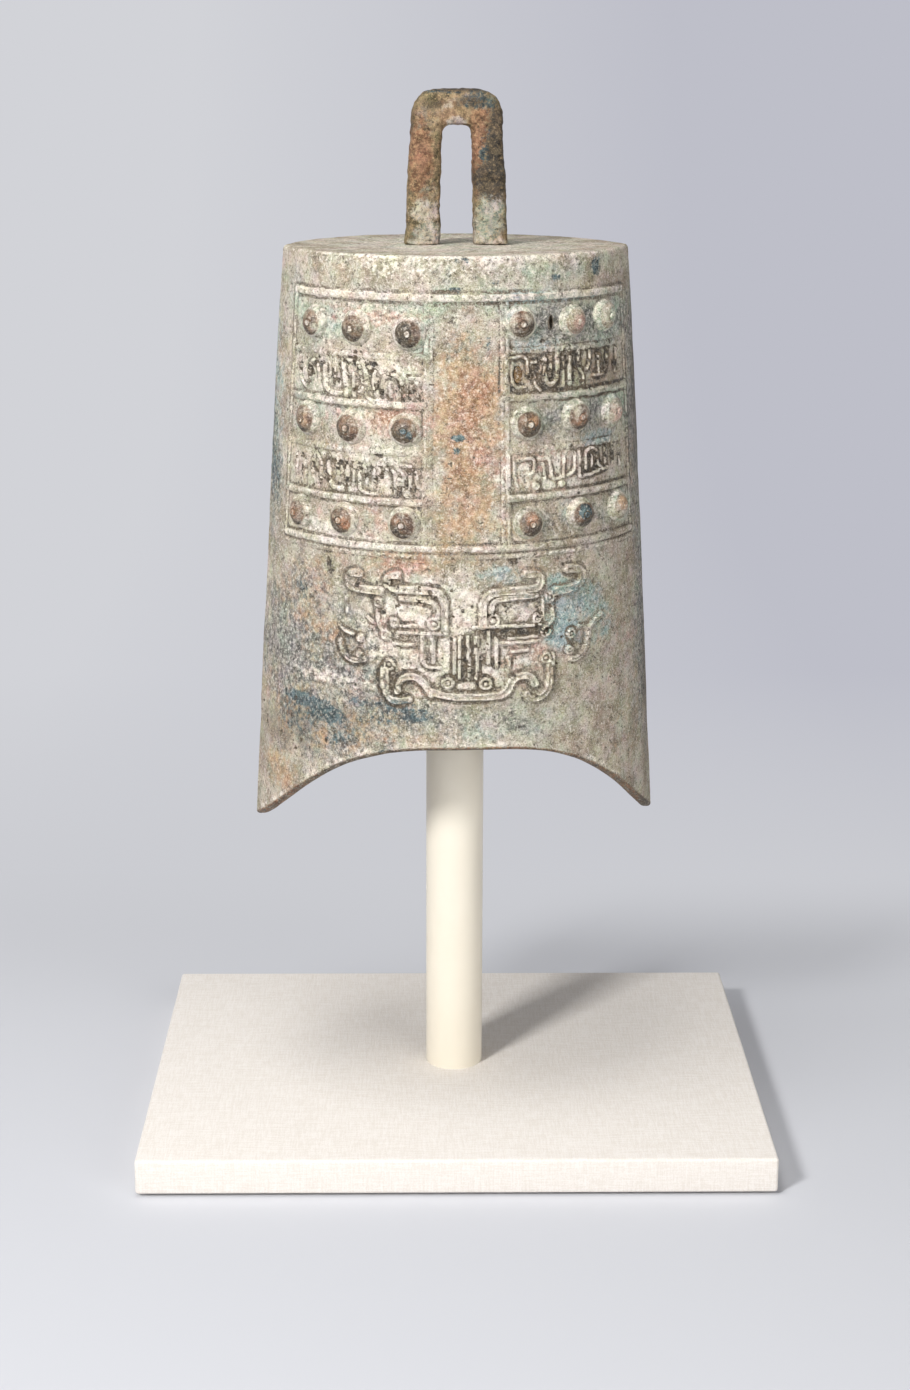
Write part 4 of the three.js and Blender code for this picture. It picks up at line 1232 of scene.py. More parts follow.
@contextmanager
def editing(piece: Piece, mode: str = "FACE") -> Iterator[None]:
    """Opens a piece in edit mode for operators on its vertices, edges or faces.

    Args:
        piece: The piece.
        mode: VERT, EDGE or FACE, for what is selected.

    Returns:
        Nothing: the piece is in edit mode for as long as the block runs.
    """
    only(piece)
    bpy.ops.object.mode_set(mode="EDIT")
    bpy.ops.mesh.select_mode(type=mode)
    yield
    bpy.ops.object.mode_set(mode="OBJECT")


def deselect() -> None:
    """Deselects every object, because an operator acts on all that is selected."""
    bpy.ops.object.select_all(action="DESELECT")


def only(piece: Piece) -> None:
    """Selects one piece alone and makes it the active one.

    Args:
        piece: The piece.
    """
    deselect()
    piece.select_set(True)
    bpy.context.view_layer.objects.active = piece


def apply_modifier(piece: Piece, kind: str, **settings: object) -> None:
    """Adds a modifier to a piece and applies it.

    Args:
        piece: The piece.
        kind: The modifier's type name.
        settings: The modifier's own properties.
    """
    modifier = piece.modifiers.new(kind.lower(), kind)
    for name, value in settings.items():
        setattr(modifier, name, value)
    only(piece)
    bpy.ops.object.modifier_apply(modifier=modifier.name)


def copied(source: Piece, name: str) -> Piece:
    """Copies a piece with its mesh under a new name.

    Args:
        source: The piece to copy.
        name: The copy's name.

    Returns:
        The copy.
    """
    piece = source.copy()
    piece.data = source.data.copy()
    piece.name = name
    bpy.context.collection.objects.link(piece)
    return piece


def vertex_rows(piece: Piece, what: str) -> Array:
    """The "co" or the "normal" of a piece's vertices, one row each.

    Args:
        piece: The piece.
        what: "co" for their places in metres or "normal" for their directions.

    Returns:
        One row for each vertex.
    """
    flat = np.empty(len(piece.data.vertices) * 3, np.float32)
    piece.data.vertices.foreach_get(what, flat)
    return flat.reshape(-1, 3).astype(float)


def coordinates(piece: Piece) -> Array:
    """The places of a piece's vertices in millimetres, one row each."""
    return vertex_rows(piece, "co") / MM


def move_to(piece: Piece, places: Array) -> None:
    """Puts a piece's vertices at places in millimetres."""
    piece.data.vertices.foreach_set("co", (places * MM).astype(np.float32).ravel())
    piece.data.update()


def select_only(piece: Piece, kind: str, wanted: Callable[[object], bool]) -> None:
    """Selects the parts of a mesh that pass a test, in edit mode.

    Args:
        piece: The piece that is being edited.
        kind: "faces" or "edges".
        wanted: The test.
    """
    mesh = bmesh.from_edit_mesh(piece.data)
    for item in (*mesh.verts, *mesh.edges, *mesh.faces):
        item.select_set(False)
    for item in getattr(mesh, kind):
        if wanted(item):
            item.select_set(True)
    mesh.select_flush_mode()
    bmesh.update_edit_mesh(piece.data)


def sheet_of(name: str, places: Array) -> Piece:
    """Adds a grid and moves its vertices to their places.

    Args:
        name: The new piece's name.
        places: Millimetres, an array of rows by columns by 3.

    Returns:
        The open sheet.
    """
    rows, columns = places.shape[:2]
    deselect()
    bpy.ops.mesh.primitive_grid_add(x_subdivisions=columns - 1, y_subdivisions=rows - 1, size=2)
    piece = bpy.context.object
    piece.name = name
    flat = vertex_rows(piece, "co")
    column = np.rint((flat[:, 0] + 1) / 2 * (columns - 1)).astype(int)
    row = np.rint((flat[:, 1] + 1) / 2 * (rows - 1)).astype(int)
    move_to(piece, places[row, column])
    return piece


def close_up(piece: Piece, merge_mm: float = 0.01) -> None:
    """Merges doubled vertices, fills open edges and turns the faces outwards.

    Args:
        piece: The piece.
        merge_mm: How near to each other doubled vertices lie.
    """
    with editing(piece, "VERT"):
        bpy.ops.mesh.select_all(action="SELECT")
        bpy.ops.mesh.remove_doubles(threshold=merge_mm * MM)
        bpy.ops.mesh.select_all(action="DESELECT")
        bpy.ops.mesh.select_non_manifold(extend=False, use_wire=False, use_multi_face=False,
                                         use_non_contiguous=False, use_verts=False)
        if any(vertex.select for vertex in bmesh.from_edit_mesh(piece.data).verts):
            bpy.ops.mesh.fill(use_beauty=True)
        bpy.ops.mesh.select_all(action="SELECT")
        bpy.ops.mesh.normals_make_consistent(inside=False)


def soften(piece: Piece, degrees: float) -> None:
    """Shades a piece smooth where its faces meet at less than an angle."""
    only(piece)
    bpy.ops.object.shade_smooth_by_angle(angle=math.radians(degrees))


def dress(piece: Piece, material: bpy.types.Material) -> None:
    """Gives a piece one material in place of those it has."""
    piece.data.materials.clear()
    piece.data.materials.append(material)


def write_tones(piece: Piece, tones: dict[Tone, Array]) -> None:
    """Writes the shares of the tones on a piece's vertices.

    Args:
        piece: The piece.
        tones: Each tone's share at each vertex, which is kept between 0 and 1.
    """
    for tone, share in tones.items():
        layers = piece.data.attributes
        layer = layers.get(tone.value) or layers.new(tone.value, "FLOAT", "POINT")
        layer.data.foreach_set("value", np.clip(share, 0, 1).astype(np.float32))


def hand_over(piece: Piece, body: str, node: str) -> None:
    """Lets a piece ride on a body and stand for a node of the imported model.

    Args:
        piece: The finished piece.
        body: The body that it moves with.
        node: The node that it replaces.
    """
    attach(piece, body)
    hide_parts(node)
    LOG.info("%s: %d faces", piece.name, len(piece.data.polygons))


@dataclass
class BellWall:
    """A quarter of the cast bell: the upper or lower length of one face, with its wall behind it."""

    form: BellForm
    decoration: Decoration
    weathering: Weathering
    zone: Zone
    columns: int = 350
    crown_rows: int = 12
    crown_depth: float = 17.0
    shoulder_turns: int = 6
    step: float = 0.64
    coarse_step: float = 1.1
    split: float = 147.0
    figure_foot: float = 219.0
    inner_step: float = 12.0
    inner_lift: float = 0.25
    under_rows: int = 5
    lip_radius: float = 1.8
    lip_turns: int = 4
    level_above: float = 190.0

    def piece(self, name: str, cutters: list[Piece]) -> Piece:
        """Builds the length of wall.

        Args:
            name: Its name.
            cutters: Closed shapes that are taken out of it.

        Returns:
            The closed piece in its place.
        """
        face = self.decoration.face
        outer, inner = self._upper() if self.zone is Zone.UPPER else self._lower()
        places = np.stack(outer + inner)
        across, depth = places[..., 0].ravel(), -places[..., 2].ravel()
        lift = self.weathering.lift(self.form.placed(places.reshape(-1, 3), face), across, depth)
        lift = lift.reshape(places.shape[:2])
        lift[len(outer) :] *= self.inner_lift
        on_face = np.arange(places.shape[0])[:, None] < len(outer)
        on_face = (on_face & (-places[..., 2] > self.form.shoulder + 1.0)).ravel()
        raised = np.zeros(len(depth))
        raised[on_face] = self.decoration.relief(across[on_face], depth[on_face])
        moved = places + self._directions(places) * (lift + raised.reshape(lift.shape))[..., None]
        moved[:, 0, 1] = moved[:, -1, 1] = 0.0
        if self.zone is Zone.UPPER:
            moved[0, :, 1] = moved[-1, :, 1] = 0.0
        else:
            moved = np.concatenate([moved, moved[:1]])
        wall = sheet_of(name, self.form.placed(moved.reshape(-1, 3), face).reshape(moved.shape))
        close_up(wall)
        for cutter in cutters:
            apply_modifier(wall, "BOOLEAN", operation="DIFFERENCE", object=cutter, solver="EXACT")
        soften(wall, 50.0)
        self._stain(wall)
        return wall

    def _stain(self, wall: Piece) -> None:
        """Writes the tones of the patina and of the painted shade in its hollows on the wall as vertex
        attributes.

        Args:
            wall: The wall in its place.
        """
        places = coordinates(wall)
        own = self.form.unplaced(places, self.decoration.face)
        write_tones(wall, self.weathering.tones(places, self.decoration.hollow(own[:, 0], -own[:, 2])))

    def _row(self, depth: Array | float, inset: float = 0.0, forward: float = 1.0) -> Array:
        """One row of places along the face's arc.

        Args:
            depth: The depth of the row or of each of its columns.
            inset: How far inside the outer surface the row lies.
            forward: The share of the arc's bow that is kept, 0 on the middle line of the crown.

        Returns:
            Places in millimetres from the middle of the crown's top.
        """
        depth = np.ones(self.columns + 1) * depth
        length, breadth, radius = self.form.arc(depth, inset)
        angle = np.arcsin(length / radius) * np.linspace(-1, 1, self.columns + 1)
        across = radius * np.sin(angle)
        bow = -(radius * np.cos(angle) - (radius - breadth)) * forward
        return np.stack([across, bow, -depth], axis=1)

    def _upper(self) -> tuple[list[Array], list[Array]]:
        """The upper length's rows outside, from the crown's middle line down, and inside, back up to it."""
        form = self.form
        steps = np.arange(self.crown_rows) / (self.crown_rows - 1)
        outer = [self._row(0.0, form.shoulder, share) for share in steps]
        for step in range(1, self.shoulder_turns):
            turn = math.pi / 2 * step / self.shoulder_turns
            row = self._row(0.0, form.shoulder * (1 - math.sin(turn)))
            row[:, 2] = -form.shoulder * (1 - math.cos(turn))
            outer.append(row)
        depths = (*np.arange(form.shoulder, self.crown_depth, self.coarse_step),
                  *np.arange(self.crown_depth, self.split, self.step), self.split)
        outer += [self._row(depth) for depth in depths]
        depths = np.linspace(self.split, form.crown, round(self.split / self.inner_step))
        inner = [self._row(depth, form.wall) for depth in depths]
        shares = [1 - step / self.under_rows for step in range(1, self.under_rows + 1)]
        return outer, inner + [self._row(form.crown, form.wall, share) for share in shares]

    def _lower(self) -> tuple[list[Array], list[Array]]:
        """The lower length's rows outside, down to the mouth and round its lip, and inside, back up."""
        form = self.form
        length, _, arc_radius = form.arc(np.array(0.0))
        ratio = float(arc_radius / length)
        mouth = form.mouth_depth(np.sin(np.linspace(-1, 1, self.columns + 1) * math.asin(1 / ratio)) * ratio)
        foot = form.height - self.lip_radius
        outer = []
        for nominal in (*np.arange(self.split, self.figure_foot, self.step),
                        *np.arange(self.figure_foot, foot, self.coarse_step), foot):
            part = max(nominal - self.level_above, 0.0) / (foot - self.level_above)
            level = min(nominal, self.level_above)
            outer.append(self._row(level + part * (mouth - self.lip_radius - self.level_above)))
        turns = [math.pi / 2 * step / self.lip_turns for step in range(1, self.lip_turns + 1)]
        radius = self.lip_radius
        lip = [(radius * (1 - math.cos(turn)), radius * (1 - math.sin(turn))) for turn in turns]
        lip += [(form.wall - inset, rise) for inset, rise in reversed(lip)]
        outer += [self._row(mouth - rise, inset) for inset, rise in lip]
        parts = np.linspace(1, 0, round((form.height - self.split) / self.inner_step))
        lowest = mouth - radius - self.split
        return outer, [self._row(self.split + part * lowest, form.wall) for part in parts]

    @staticmethod
    def _directions(places: Array) -> Array:
        """The outward direction at each place of the smooth wall.

        Args:
            places: Millimetres, an array of rows by columns by 3.

        Returns:
            Directions of length 1, or of 0 where rows meet.
        """
        normal = np.cross(np.gradient(places, axis=0), np.gradient(places, axis=1))
        normal[:, 0, 1] = normal[:, -1, 1] = 0.0
        size = np.linalg.norm(normal, axis=2, keepdims=True)
        return np.where(size > 1e-9, normal / np.maximum(size, 1e-9), 0.0)


@dataclass(frozen=True)
class BossLook:
    """How far one boss is worn to brown metal, the tone that lies on it and how strongly.

    The founder set each boss by eye, so it may also have a place of its own, across and in depth.
    """

    worn: float
    tone: Tone
    share: float
    place: tuple[float, float] | None = None


# The bosses of the photographed face, by row, place from the middle and side.
FRONT_LOOKS = {
    (1, 3, -1): BossLook(0.75, Tone.TAN, 0.6, (-71.4, 34.1)),
    (1, 2, -1): BossLook(0.85, Tone.TAN, 0.5, (-52, 34.9)),
    (1, 1, -1): BossLook(1, Tone.DARK_PATINA_AND_SHADE, 0.9, (-27, 36.3)),
    (1, 1, 1): BossLook(0.8, Tone.TAN, 0.5, (25.5, 31.9)),
    (1, 2, 1): BossLook(0.4, Tone.PINK, 0.7, (52.2, 32.2)),
    (1, 3, 1): BossLook(0.15, Tone.VERDIGRIS, 0.8, (69.3, 31.3)),
    (2, 3, -1): BossLook(0.75, Tone.TAN, 0.7, (-74.9, 81)),
    (2, 2, -1): BossLook(0.9, Tone.TAN, 0.4, (-54.8, 82.8)),
    (2, 1, -1): BossLook(1, Tone.TEAL, 0.85, (-29, 82.3)),
    (2, 1, 1): BossLook(0.95, Tone.RUST, 0.8, (29.1, 79.7)),
    (2, 2, 1): BossLook(0.7, Tone.RUST, 0.7, (54.2, 78.1)),
    (2, 3, 1): BossLook(0.25, Tone.PINK, 0.7, (73.9, 78.4)),
    (3, 3, -1): BossLook(0.8, Tone.RUST, 0.6, (-79, 127.9)),
    (3, 2, -1): BossLook(0.9, Tone.RUST, 0.9, (-58.5, 127.9)),
    (3, 1, -1): BossLook(0.95, Tone.RUST, 0.4, (-30.2, 128)),
    (3, 1, 1): BossLook(0.85, Tone.RUST, 0.6, (30.3, 128)),
    (3, 2, 1): BossLook(1, Tone.TEAL, 1, (57, 126.2)),
    (3, 3, 1): BossLook(0.3, Tone.TAN, 0.7, (77.5, 126.2)),
}


@dataclass
class Bosses:
    """The 18 low bosses of one face, each a stepped dome with a flat nipple.

    Its steps go inwards and outwards from the foot's edge. Its tones lie between distances from its middle.
    """

    form: BellForm
    face: Face
    weathering: Weathering
    rows: tuple[float, ...] = (34.0, 81.0, 128.0)
    places: tuple[float, ...] = (0.32, 0.612, 0.836)
    radius: float = 8.6
    foot: float = 1.8
    sides: int = 44
    steps: tuple[tuple[float, float], ...] = (
        (0.3, 0.7), (0.4, 0.75), (0.5, 0.72), (0.6, 0.65), (0.7, 0.5), (0.3, 0.08), (0.3, 0.35), (0.6, 0.5),
        (0.8, 0.5), (0.8, 0.36), (0.8, 0.24), (0.5, 0.05), (0.25, -0.2), (0.2, 0.5), (0.3, 0.25), (0.5, 0.0),
        (0.4, -0.15),
    )
    dome_edge: tuple[float, float] = (7.1, 5.7)
    nipple_edge: tuple[float, float] = (1.6, 1.2)
    skirt_edge: tuple[float, float] = (6.0, 7.4)
    blot_edge: tuple[float, float] = (5.4, 2.4)
    blot_reach: float = 2.4
    grooves: tuple[tuple[float, float], ...] = ((1.9, 1.0), (5.8, 0.4))
    shade_side: tuple[float, float] = (0.5, -0.86)
    wear: float = 0.45

    def pieces(self, looks: dict[tuple[int, int, int], BossLook]) -> list[Piece]:
        """Builds one boss and copies it to every place.

        Args:
            looks: How single bosses look, by row, place and side.

        Returns:
            The bosses.
        """
        first = self._model()
        shape = coordinates(first)
        made = []
        draw = np.random.default_rng(7 if self.face is Face.FRONT else 8)
        tones = (Tone.VERDIGRIS, Tone.CRUST, Tone.RUST, Tone.DARK_PATINA_AND_SHADE)
        spots = product(enumerate(self.rows, 1), enumerate(self.places, 1), (-1, 1))
        for number, ((row, depth), (place, share), side) in enumerate(spots, 1):
            boss = copied(first, f"boss_{self.face.name.lower()}_{number:02d}")
            grow = draw.uniform(0.95, 1.04, 3)
            look = BossLook(draw.uniform(0.3, 1.0), tones[int(draw.integers(4))], draw.uniform(0.2, 0.6))
            look = looks.get((row, place, side), look)
            where = look.place or (side * share * float(self.form.half_length(np.array(depth))), depth)
            self._put(boss, shape * grow, *where)
            self._stain(boss, shape, look, side, draw.uniform(-self.blot_reach, self.blot_reach, 2))
            soften(boss, 60.0)
            made.append(boss)
        bpy.data.objects.remove(first)
        return made

    def _model(self) -> Piece:
        """Models the first boss, standing on the ground's middle with its foot below it."""
        deselect()
        radius, foot = self.radius * MM, self.foot * MM
        bpy.ops.mesh.primitive_cylinder_add(vertices=self.sides, radius=radius, depth=foot,
                                            location=(0, 0, -foot / 2))
        boss = bpy.context.object
        bpy.ops.object.transform_apply()
        with editing(boss):
            select_only(boss, "faces", lambda face: face.normal.z > 0.9)
            for inward, rise in self.steps:
                bpy.ops.mesh.inset(thickness=inward * MM, depth=rise * MM)
            bpy.ops.mesh.poke()
        return boss

    def _put(self, boss: Piece, shape: Array, across: float, depth: float) -> None:
        """Stands a boss on the face and wears it.

        Args:
            boss: The boss.
            shape: The places of its vertices, level on the ground.
            across: Millimetres straight across to its middle.
            depth: Millimetres below the crown to its middle.
        """
        model, middle = (self.form.placed(self.form.laid(points, across, depth), self.face)
                         for points in (shape, np.zeros((1, 3))))
        own = self.form.unplaced(model, self.face)
        lift = self.weathering.lift(model, own[:, 0], -own[:, 2])
        rays = model - middle
        rays /= np.maximum(np.linalg.norm(rays, axis=1, keepdims=True), 1e-6)
        move_to(boss, model + rays * (lift * self.wear)[:, None])

    def _stain(self, boss: Piece, shape: Array, look: BossLook, side: int, blot: Array) -> None:
        """Writes a boss's tones: worn metal on its dome, painted shade on its lower outer side and painted
        light on its upper side, dark in its grooves, pale round its foot.

        Args:
            boss: The boss in its place.
            shape: The places of the first boss's vertices, level on the ground.
            look: Its look.
            side: 1 on the face's right half, -1 on its left one.
            blot: The middle of the blot of its own tone.
        """
        places = coordinates(boss)
        tones = self.weathering.tones(places, np.zeros(len(places)))
        off = np.linalg.norm(shape[:, :2], axis=1)
        edges = self.dome_edge, self.nipple_edge, self.skirt_edge
        dome, nipple, skirt = (smooth(off, *edge) for edge in edges)
        ring = sum(share * smooth(np.abs(off - radius), 0.6, 0.1) for radius, share in self.grooves)
        sideways, downwards = self.shade_side
        # Painted shade: the dome's lower outer side, away from the light, is the shaded side.
        low = smooth(sideways * side * shape[:, 0] + downwards * shape[:, 1], -0.5, 5.0) * dome
        own = smooth(np.linalg.norm(shape[:, :2] - blot, axis=1), *self.blot_edge) * dome
        for tone in Tone:
            tones[tone] = tones[tone] * (1 - 0.92 * dome) * (1 - 0.5 * skirt)
        # The shaded side gets more worn metal and more of the dark tone, as painted shade, and the upper side
        # more pale pink, as painted light.
        tones[Tone.WORN] = dome * look.worn * (0.7 + 0.3 * low)
        tones[Tone.PINK] = tones[Tone.PINK] + 0.2 * dome * (1 - low) + 0.15 * skirt
        tones[look.tone] = tones[look.tone] + look.share * own
        tones[Tone.CRUST] = tones[Tone.CRUST] + 0.45 * nipple + 0.36 * skirt
        tones[Tone.VERDIGRIS] = tones[Tone.VERDIGRIS] + 0.25 * skirt
        dark_patina_and_shade = tones[Tone.DARK_PATINA_AND_SHADE] + (0.65 * ring + 0.85 * low + 0.15 * dome) * look.worn
        tones[Tone.DARK_PATINA_AND_SHADE] = dark_patina_and_shade * (1 - nipple)
        write_tones(boss, tones)


@dataclass
class Bell:
    """The cast bell with its bosses, suspension loop and core spacer."""

    frame: dict
    slot_place: tuple[float, float] = (0.466, 32.2)
    slot_size: tuple[float, float] = (2.3, 7.2)
    spacer_place: tuple[float, float] = (0.273, 56.2)
    spacer_hole: tuple[float, float] = (4.8, 8.8)
    cutter_length: float = 18.0
    halo_size: tuple[float, float] = (12.5, 11.5)
    halo_tones: tuple[tuple[Tone, float], ...] = ((Tone.VERDIGRIS, 0.35), (Tone.CRUST, 0.12))
    loop_voxel: float = 0.62
    skin: BurialPatina = BurialPatina()
    loop_skin: BurialPatina = BurialPatina(
        name="cast_tin_bronze_brown_skin", ground_light="#B09670", ground_dark="#67593D",
        speckle_light="#B79D74", speckle_dark="#1F1912", blot_mm=6.0, dim=0.62)
    spacer_skin: BurialPatina = BurialPatina(
        name="core_spacer_brown_bronze", ground_light="#8A6A3C", ground_dark="#5E4222")

    def build(self) -> None:
        """Builds, stains and hands over every piece of the bell."""
        low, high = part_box("bell_body")
        form = BellForm(crown_z=round(high.z / MM, 1), height=round((high.z - low.z) / MM, 0))
        grain = Grain(5)
        patina = self.skin.material()
        for face, areas, pits, looks in ((Face.FRONT, FRONT_AREAS, FRONT_PITS, FRONT_LOOKS),
                                         (Face.BACK, back_areas(), BACK_PITS, {})):
            halos = {tone: tuple(Area(*look.place, *self.halo_size, share) for look in looks.values())
                     for tone, share in self.halo_tones}
            weathering = Weathering(form, face, (areas, halos, CROWN_AREAS), pits, grain)
            decoration = Decoration(form, face)
            cutters = self._cutters(form) if face is Face.FRONT else []
            pieces = []
            for zone in Zone:
                wall = BellWall(form, decoration, weathering, zone)
                name = f"bell_{face.name.lower()}_{zone.value}"
                pieces.append(wall.piece(name, cutters if zone is Zone.UPPER else []))
            for cutter in cutters:
                bpy.data.objects.remove(cutter)
            for piece in pieces + Bosses(form, face, weathering).pieces(looks):
                dress(piece, patina)
                hand_over(piece, "bell", "bell_body")
            if face is Face.FRONT:
                self._loop(grain, high.z / MM)
        dress(self.frame["nodes"]["core_spacer"], self.spacer_skin.material())

    def _cutters(self, form: BellForm) -> list[Piece]:
        """Oval prisms that cut the slot and the spacer's hole through the front wall.

        Args:
            form: The bell's form.

        Returns:
            The two prisms.
        """
        made = []
        for name, (share, depth), size in (("slot_cutter", self.slot_place, self.slot_size),
                                           ("spacer_cutter", self.spacer_place, self.spacer_hole)):
            deselect()
            bpy.ops.mesh.primitive_cylinder_add(vertices=32, radius=0.5, depth=1.0)
            cutter = bpy.context.object
            cutter.name = name
            shape = vertex_rows(cutter, "co") * (*size, self.cutter_length)
            across = share * float(form.half_length(np.array(depth)))
            move_to(cutter, form.placed(form.laid(shape, across, depth), Face.FRONT))
            close_up(cutter)
            made.append(cutter)
        return made

    def _loop(self, grain: Grain, crown_z: float) -> None:
        """Rounds, wears and stains a copy of the loop.

        Args:
            grain: The noise of the casting's skin.
            crown_z: The height of the crown's top, from which the loop's stains are measured upwards.
        """
        loop = copied(self.frame["nodes"]["suspension_loop"], "suspension_loop_cast")
        close_up(loop, 0.02)
        apply_modifier(loop, "REMESH", mode="VOXEL", voxel_size=self.loop_voxel * MM)
        apply_modifier(loop, "SMOOTH", factor=0.5, iterations=8)
        places = coordinates(loop)
        lift = 1.3 * (grain.layered(places, 9.0, 3) - 0.5) + 0.8 * (grain.at(places + 50.0, 2.4) - 0.5)
        lift -= 0.7 * smooth(grain.at(places + 70.0, 3.0), 0.8, 0.95)
        move_to(loop, places + vertex_rows(loop, "normal") * lift[:, None])
        soften(loop, 70.0)
        places = coordinates(loop)
        tones = {}
        for number, tone in enumerate(Tone):
            blots = grain.layered(places + 700.0 + 53.0 * number, 9.0, 3)
            tones[tone] = covered(places[:, 0], places[:, 2] - crown_z, LOOP_AREAS[tone]) * (0.5 + blots)
        write_tones(loop, tones)
        dress(loop, self.loop_skin.material())
        hand_over(loop, "bell", "suspension_loop")


@dataclass
class Stand:
    """The linen-covered board and the post, with the steel and felt that hold them together."""

    frame: dict
    post_sides: int = 96
    post_wall: float = 2.2
    post_bevel: float = 0.6
    cloth: float = 0.7
    hem: float = 28.0
    board_edge: float = 1.6
    felt_edge: float = 0.4

    def build(self) -> None:
        """Builds and hands over the stand's pieces and dresses the nodes that stay."""
        self._linen()
        self._post()
        self._felts()
        finishes = {"plain_steel": RolledSteel().material(), "board_wood": BoardWood().material()}
        for item in self.frame["record"]["subparts"]:
            if item["material_slot"] in finishes:
                dress(self.frame["nodes"][item["node"]], finishes[item["material_slot"]])

    def _linen(self) -> None:
        """Wraps the board in its cloth, turned in underneath."""
        low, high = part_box("linen_cover")
        deselect()
        bpy.ops.mesh.primitive_cube_add(size=1, location=(low + high) / 2, scale=high - low)
        cloth = bpy.context.object
        cloth.name = "linen_board_cover"
        bpy.ops.object.transform_apply()
        with editing(cloth):
            bpy.ops.mesh.select_all(action="SELECT")
            bpy.ops.mesh.bevel(offset=self.board_edge * MM, segments=5, affect="EDGES")
            select_only(cloth, "faces", lambda face: face.normal.z < -0.99)
            bpy.ops.mesh.inset(thickness=self.hem * MM)
            bpy.ops.mesh.delete(type="FACE")
        apply_modifier(cloth, "SOLIDIFY", thickness=self.cloth * MM, offset=-1.0)
        soften(cloth, 30.0)
        dress(cloth, LinenCloth().material())
        hand_over(cloth, "stand", "linen_cover")

    def _post(self) -> None:
        """Turns the post, a tube with softened ends."""
        low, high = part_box("post_tube")
        deselect()
        bpy.ops.mesh.primitive_cylinder_add(vertices=self.post_sides, radius=(high.x - low.x) / 2,
                                            depth=high.z - low.z, location=(low + high) / 2)
        post = bpy.context.object
        post.name = "painted_post"
        bpy.ops.object.transform_apply()
        with editing(post):
            select_only(post, "faces", lambda face: abs(face.normal.z) > 0.9)
            bpy.ops.mesh.inset(thickness=self.post_wall * MM, use_individual=True)
            bpy.ops.mesh.bridge_edge_loops()
        apply_modifier(post, "BEVEL", width=self.post_bevel * MM, segments=3, limit_method="ANGLE",
                       angle_limit=math.radians(60))
        soften(post, 30.0)
        dress(post, PaintedTube().material())
        hand_over(post, "stand", "post_tube")

    def _felts(self) -> None:
        felt = PressedFelt().material()
        for node, name, rests_on in (("underside_felt", "board_felt", "linen_board_cover"),
                                     ("crown_pad", "crown_felt", "support_plate"),
                                     ("support_edge_strip", "plate_edge_felt", "support_plate")):
            piece = copied(self.frame["nodes"][node], name)
            close_up(piece, 0.02)
            apply_modifier(piece, "BEVEL", width=self.felt_edge * MM, segments=2, limit_method="ANGLE",
                           angle_limit=math.radians(50))
            soften(piece, 50.0)
            dress(piece, felt)
            hand_over(piece, "stand", node)


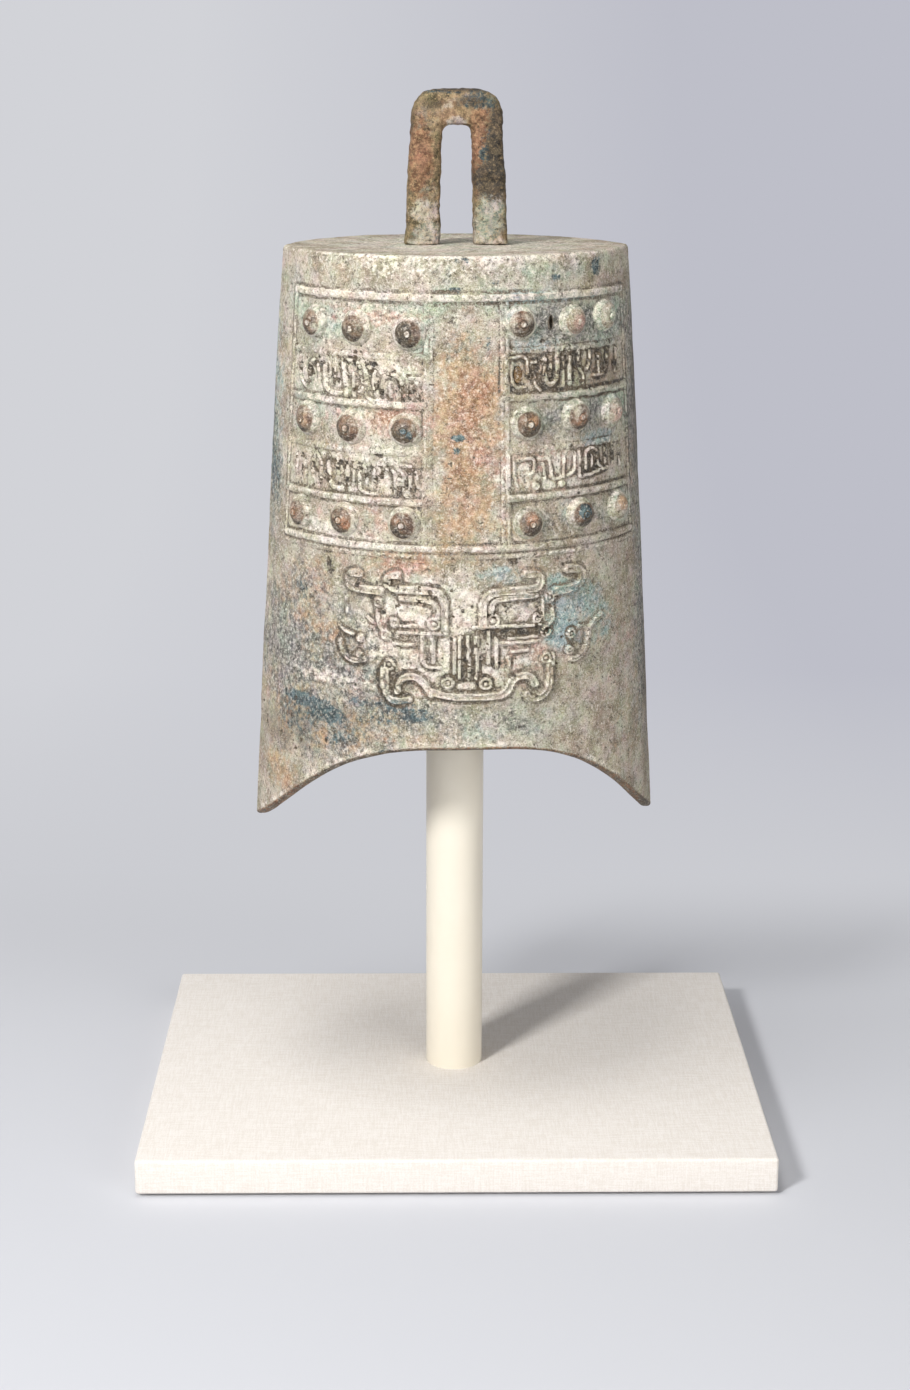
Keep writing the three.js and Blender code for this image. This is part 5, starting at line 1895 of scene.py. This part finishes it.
@dataclass
class Studio:
    """The floor with its raised back, the lamps and the camera."""

    floor_size: float = 9000.0
    sweep_back: float = 2600.0
    sweep_rise: float = 4000.0
    sweep_radius: float = 1200.0
    floor_hex: str = "#CDCED2"
    near_hex: str = "#CBCCD1"
    far_left_hex: str = "#D2D3D8"
    far_right_hex: str = "#BEBFC9"
    sky_hex: str = "#CFD0D6"
    world_hex: str = "#E2E2E6"
    camera_place: tuple[float, float, float] = (-17.6, -1217.5, 557.6)
    camera_yaw: float = 0.0144
    camera_pitch: float = 0.248
    camera_roll: float = -0.0029
    focal_pixels: float = 2404.9
    image_height: float = 1390.0
    middle_rise_pixels: float = 45.0
    aim: tuple[float, float, float] = (0.0, 0.0, 300.0)
    lamps: tuple[tuple[str, tuple[float, float, float], float, float], ...] = (
        ("key_lamp", (-1000, -1350, 1300), 320, 33.0),
        ("fill_lamp", (1000, -1500, 700), 1200, 13.0),
        ("top_lamp", (-250, -300, 1800), 600, 9.8),
    )

    def build(self) -> None:
        """Sets up everything that isn't part of the object."""
        self._camera()
        self._floor()
        self._lamps()
        self._world()
        bpy.context.scene.view_settings.view_transform = "Standard"

    def _camera(self) -> None:
        """Stands the camera where the photograph was taken from."""
        cos_yaw, sin_yaw = math.cos(self.camera_yaw), math.sin(self.camera_yaw)
        cos_pitch, sin_pitch = math.cos(self.camera_pitch), math.sin(self.camera_pitch)
        forward = Vector((sin_yaw * cos_pitch, cos_yaw * cos_pitch, -sin_pitch))
        right = Vector((cos_yaw, -sin_yaw, 0.0))
        down = forward.cross(right)
        cos_roll, sin_roll = math.cos(self.camera_roll), math.sin(self.camera_roll)
        right, down = cos_roll * right + sin_roll * down, -sin_roll * right + cos_roll * down
        data = bpy.data.cameras.new("photo_camera")
        data.sensor_width = 36.0
        data.lens = self.focal_pixels / self.image_height * data.sensor_width
        data.shift_y = -self.middle_rise_pixels / self.image_height
        data.clip_end = 50.0
        camera = bpy.data.objects.new("photo_camera", data)
        turn = Matrix((right, -down, -forward)).transposed().to_4x4()
        camera.matrix_world = Matrix.Translation(Vector(self.camera_place) * MM) @ turn
        bpy.context.collection.objects.link(camera)
        bpy.context.scene.camera = camera

    def _floor(self) -> None:
        """Makes one seamless floor and backdrop."""
        deselect()
        size, back = self.floor_size * MM, self.sweep_back * MM
        bpy.ops.mesh.primitive_plane_add(size=size, location=(0, back - size / 2, 0))
        floor = bpy.context.object
        floor.name = "studio_floor"
        bpy.ops.object.transform_apply()
        with editing(floor, "EDGE"):
            select_only(floor, "edges", lambda edge: all(vertex.co.y > back - 0.01 for vertex in edge.verts))
            bpy.ops.mesh.extrude_region_move(TRANSFORM_OT_translate={"value": (0, 0, self.sweep_rise * MM)})
        apply_modifier(floor, "BEVEL", width=self.sweep_radius * MM, segments=24, limit_method="ANGLE")
        soften(floor, 60.0)
        dress(floor, self._paper())

    def _paper(self) -> bpy.types.Material:
        """The backdrop's paper: matt near the object, and an even glow for the camera further back."""
        recipe = Recipe("rolled_paper_backdrop")
        tree = recipe.tree
        across, back = (add(tree, "SeparateXYZ", {0: recipe.place}, axis) for axis in (0, 1))
        sideways = add(tree, "MapRange", {0: across, 1: -0.35, 2: 0.35})
        backwards = add(tree, "MapRange", {0: back, 1: 0.3, 2: 0.9})
        sides = recipe.shade(sideways, self.far_left_hex, self.far_right_hex)
        glow = add(tree, "Emission", {0: recipe.mix(backwards, linear(self.near_hex), sides), 1: 1.0})
        seen, mirrored = (add(tree, "LightPath", out=f"Is {ray} Ray") for ray in ("Camera", "Glossy"))
        either = recipe.math("MAXIMUM", seen, mirrored)
        share = recipe.math("MULTIPLY", either, recipe.eased(back, 0.08, 0.36))
        blend = add(tree, "MixShader", {0: share, 1: recipe.shader.outputs[0], 2: glow})
        out = next(node for node in tree.nodes if node.type == "OUTPUT_MATERIAL")
        feed(tree, out, {"Surface": blend})
        matt = {"Base Color": linear(self.floor_hex), "Roughness": 1.0, "Specular IOR Level": 0.0}
        feed(tree, recipe.shader, matt)
        return recipe.material

    def _lamps(self) -> None:
        """Hangs a large soft key lamp at the front left, a fill at the right and a lamp overhead."""
        for name, place, size, power in self.lamps:
            data = bpy.data.lights.new(name, "AREA")
            data.shape = "SQUARE"
            data.size = size * MM
            data.energy = power
            lamp = bpy.data.objects.new(name, data)
            where = Vector(place) * MM
            turn = (Vector(self.aim) * MM - where).to_track_quat("-Z", "Y").to_matrix().to_4x4()
            lamp.matrix_world = Matrix.Translation(where) @ turn
            bpy.context.collection.objects.link(lamp)

    def _world(self) -> None:
        """Fills the room with a pale light that fades to the right, and shows the camera an even grey."""
        world = bpy.data.worlds.new("studio_room")
        world.use_nodes = True
        bpy.context.scene.world = world
        tree = world.node_tree
        background = next(node for node in tree.nodes if node.type == "BACKGROUND")
        sideways = add(tree, "SeparateXYZ", {0: add(tree, "TexCoord", out="Generated")})
        fade = add(tree, "MapRange", {0: sideways, 1: -0.9, 2: 0.9, 3: 0.4, 4: 0.2})
        seen = add(tree, "LightPath", out="Is Camera Ray")
        colours = {0: seen, 6: linear(self.world_hex), 7: linear(self.sky_hex)}
        colour = add(tree, "Mix", colours, 2, data_type="RGBA")
        feed(tree, background, {0: colour, 1: add(tree, "Mix", {0: seen, 2: fade, 3: 1.0})})


def main() -> None:
    """Sets up the studio, dresses the bell and its stand and logs how many faces each new piece has."""
    logging.basicConfig(level=logging.INFO, format="%(name)s: %(message)s")
    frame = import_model()
    deselect()
    Studio().build()
    Stand(frame).build()
    Bell(frame).build()


if __name__ == "__main__":
    main()
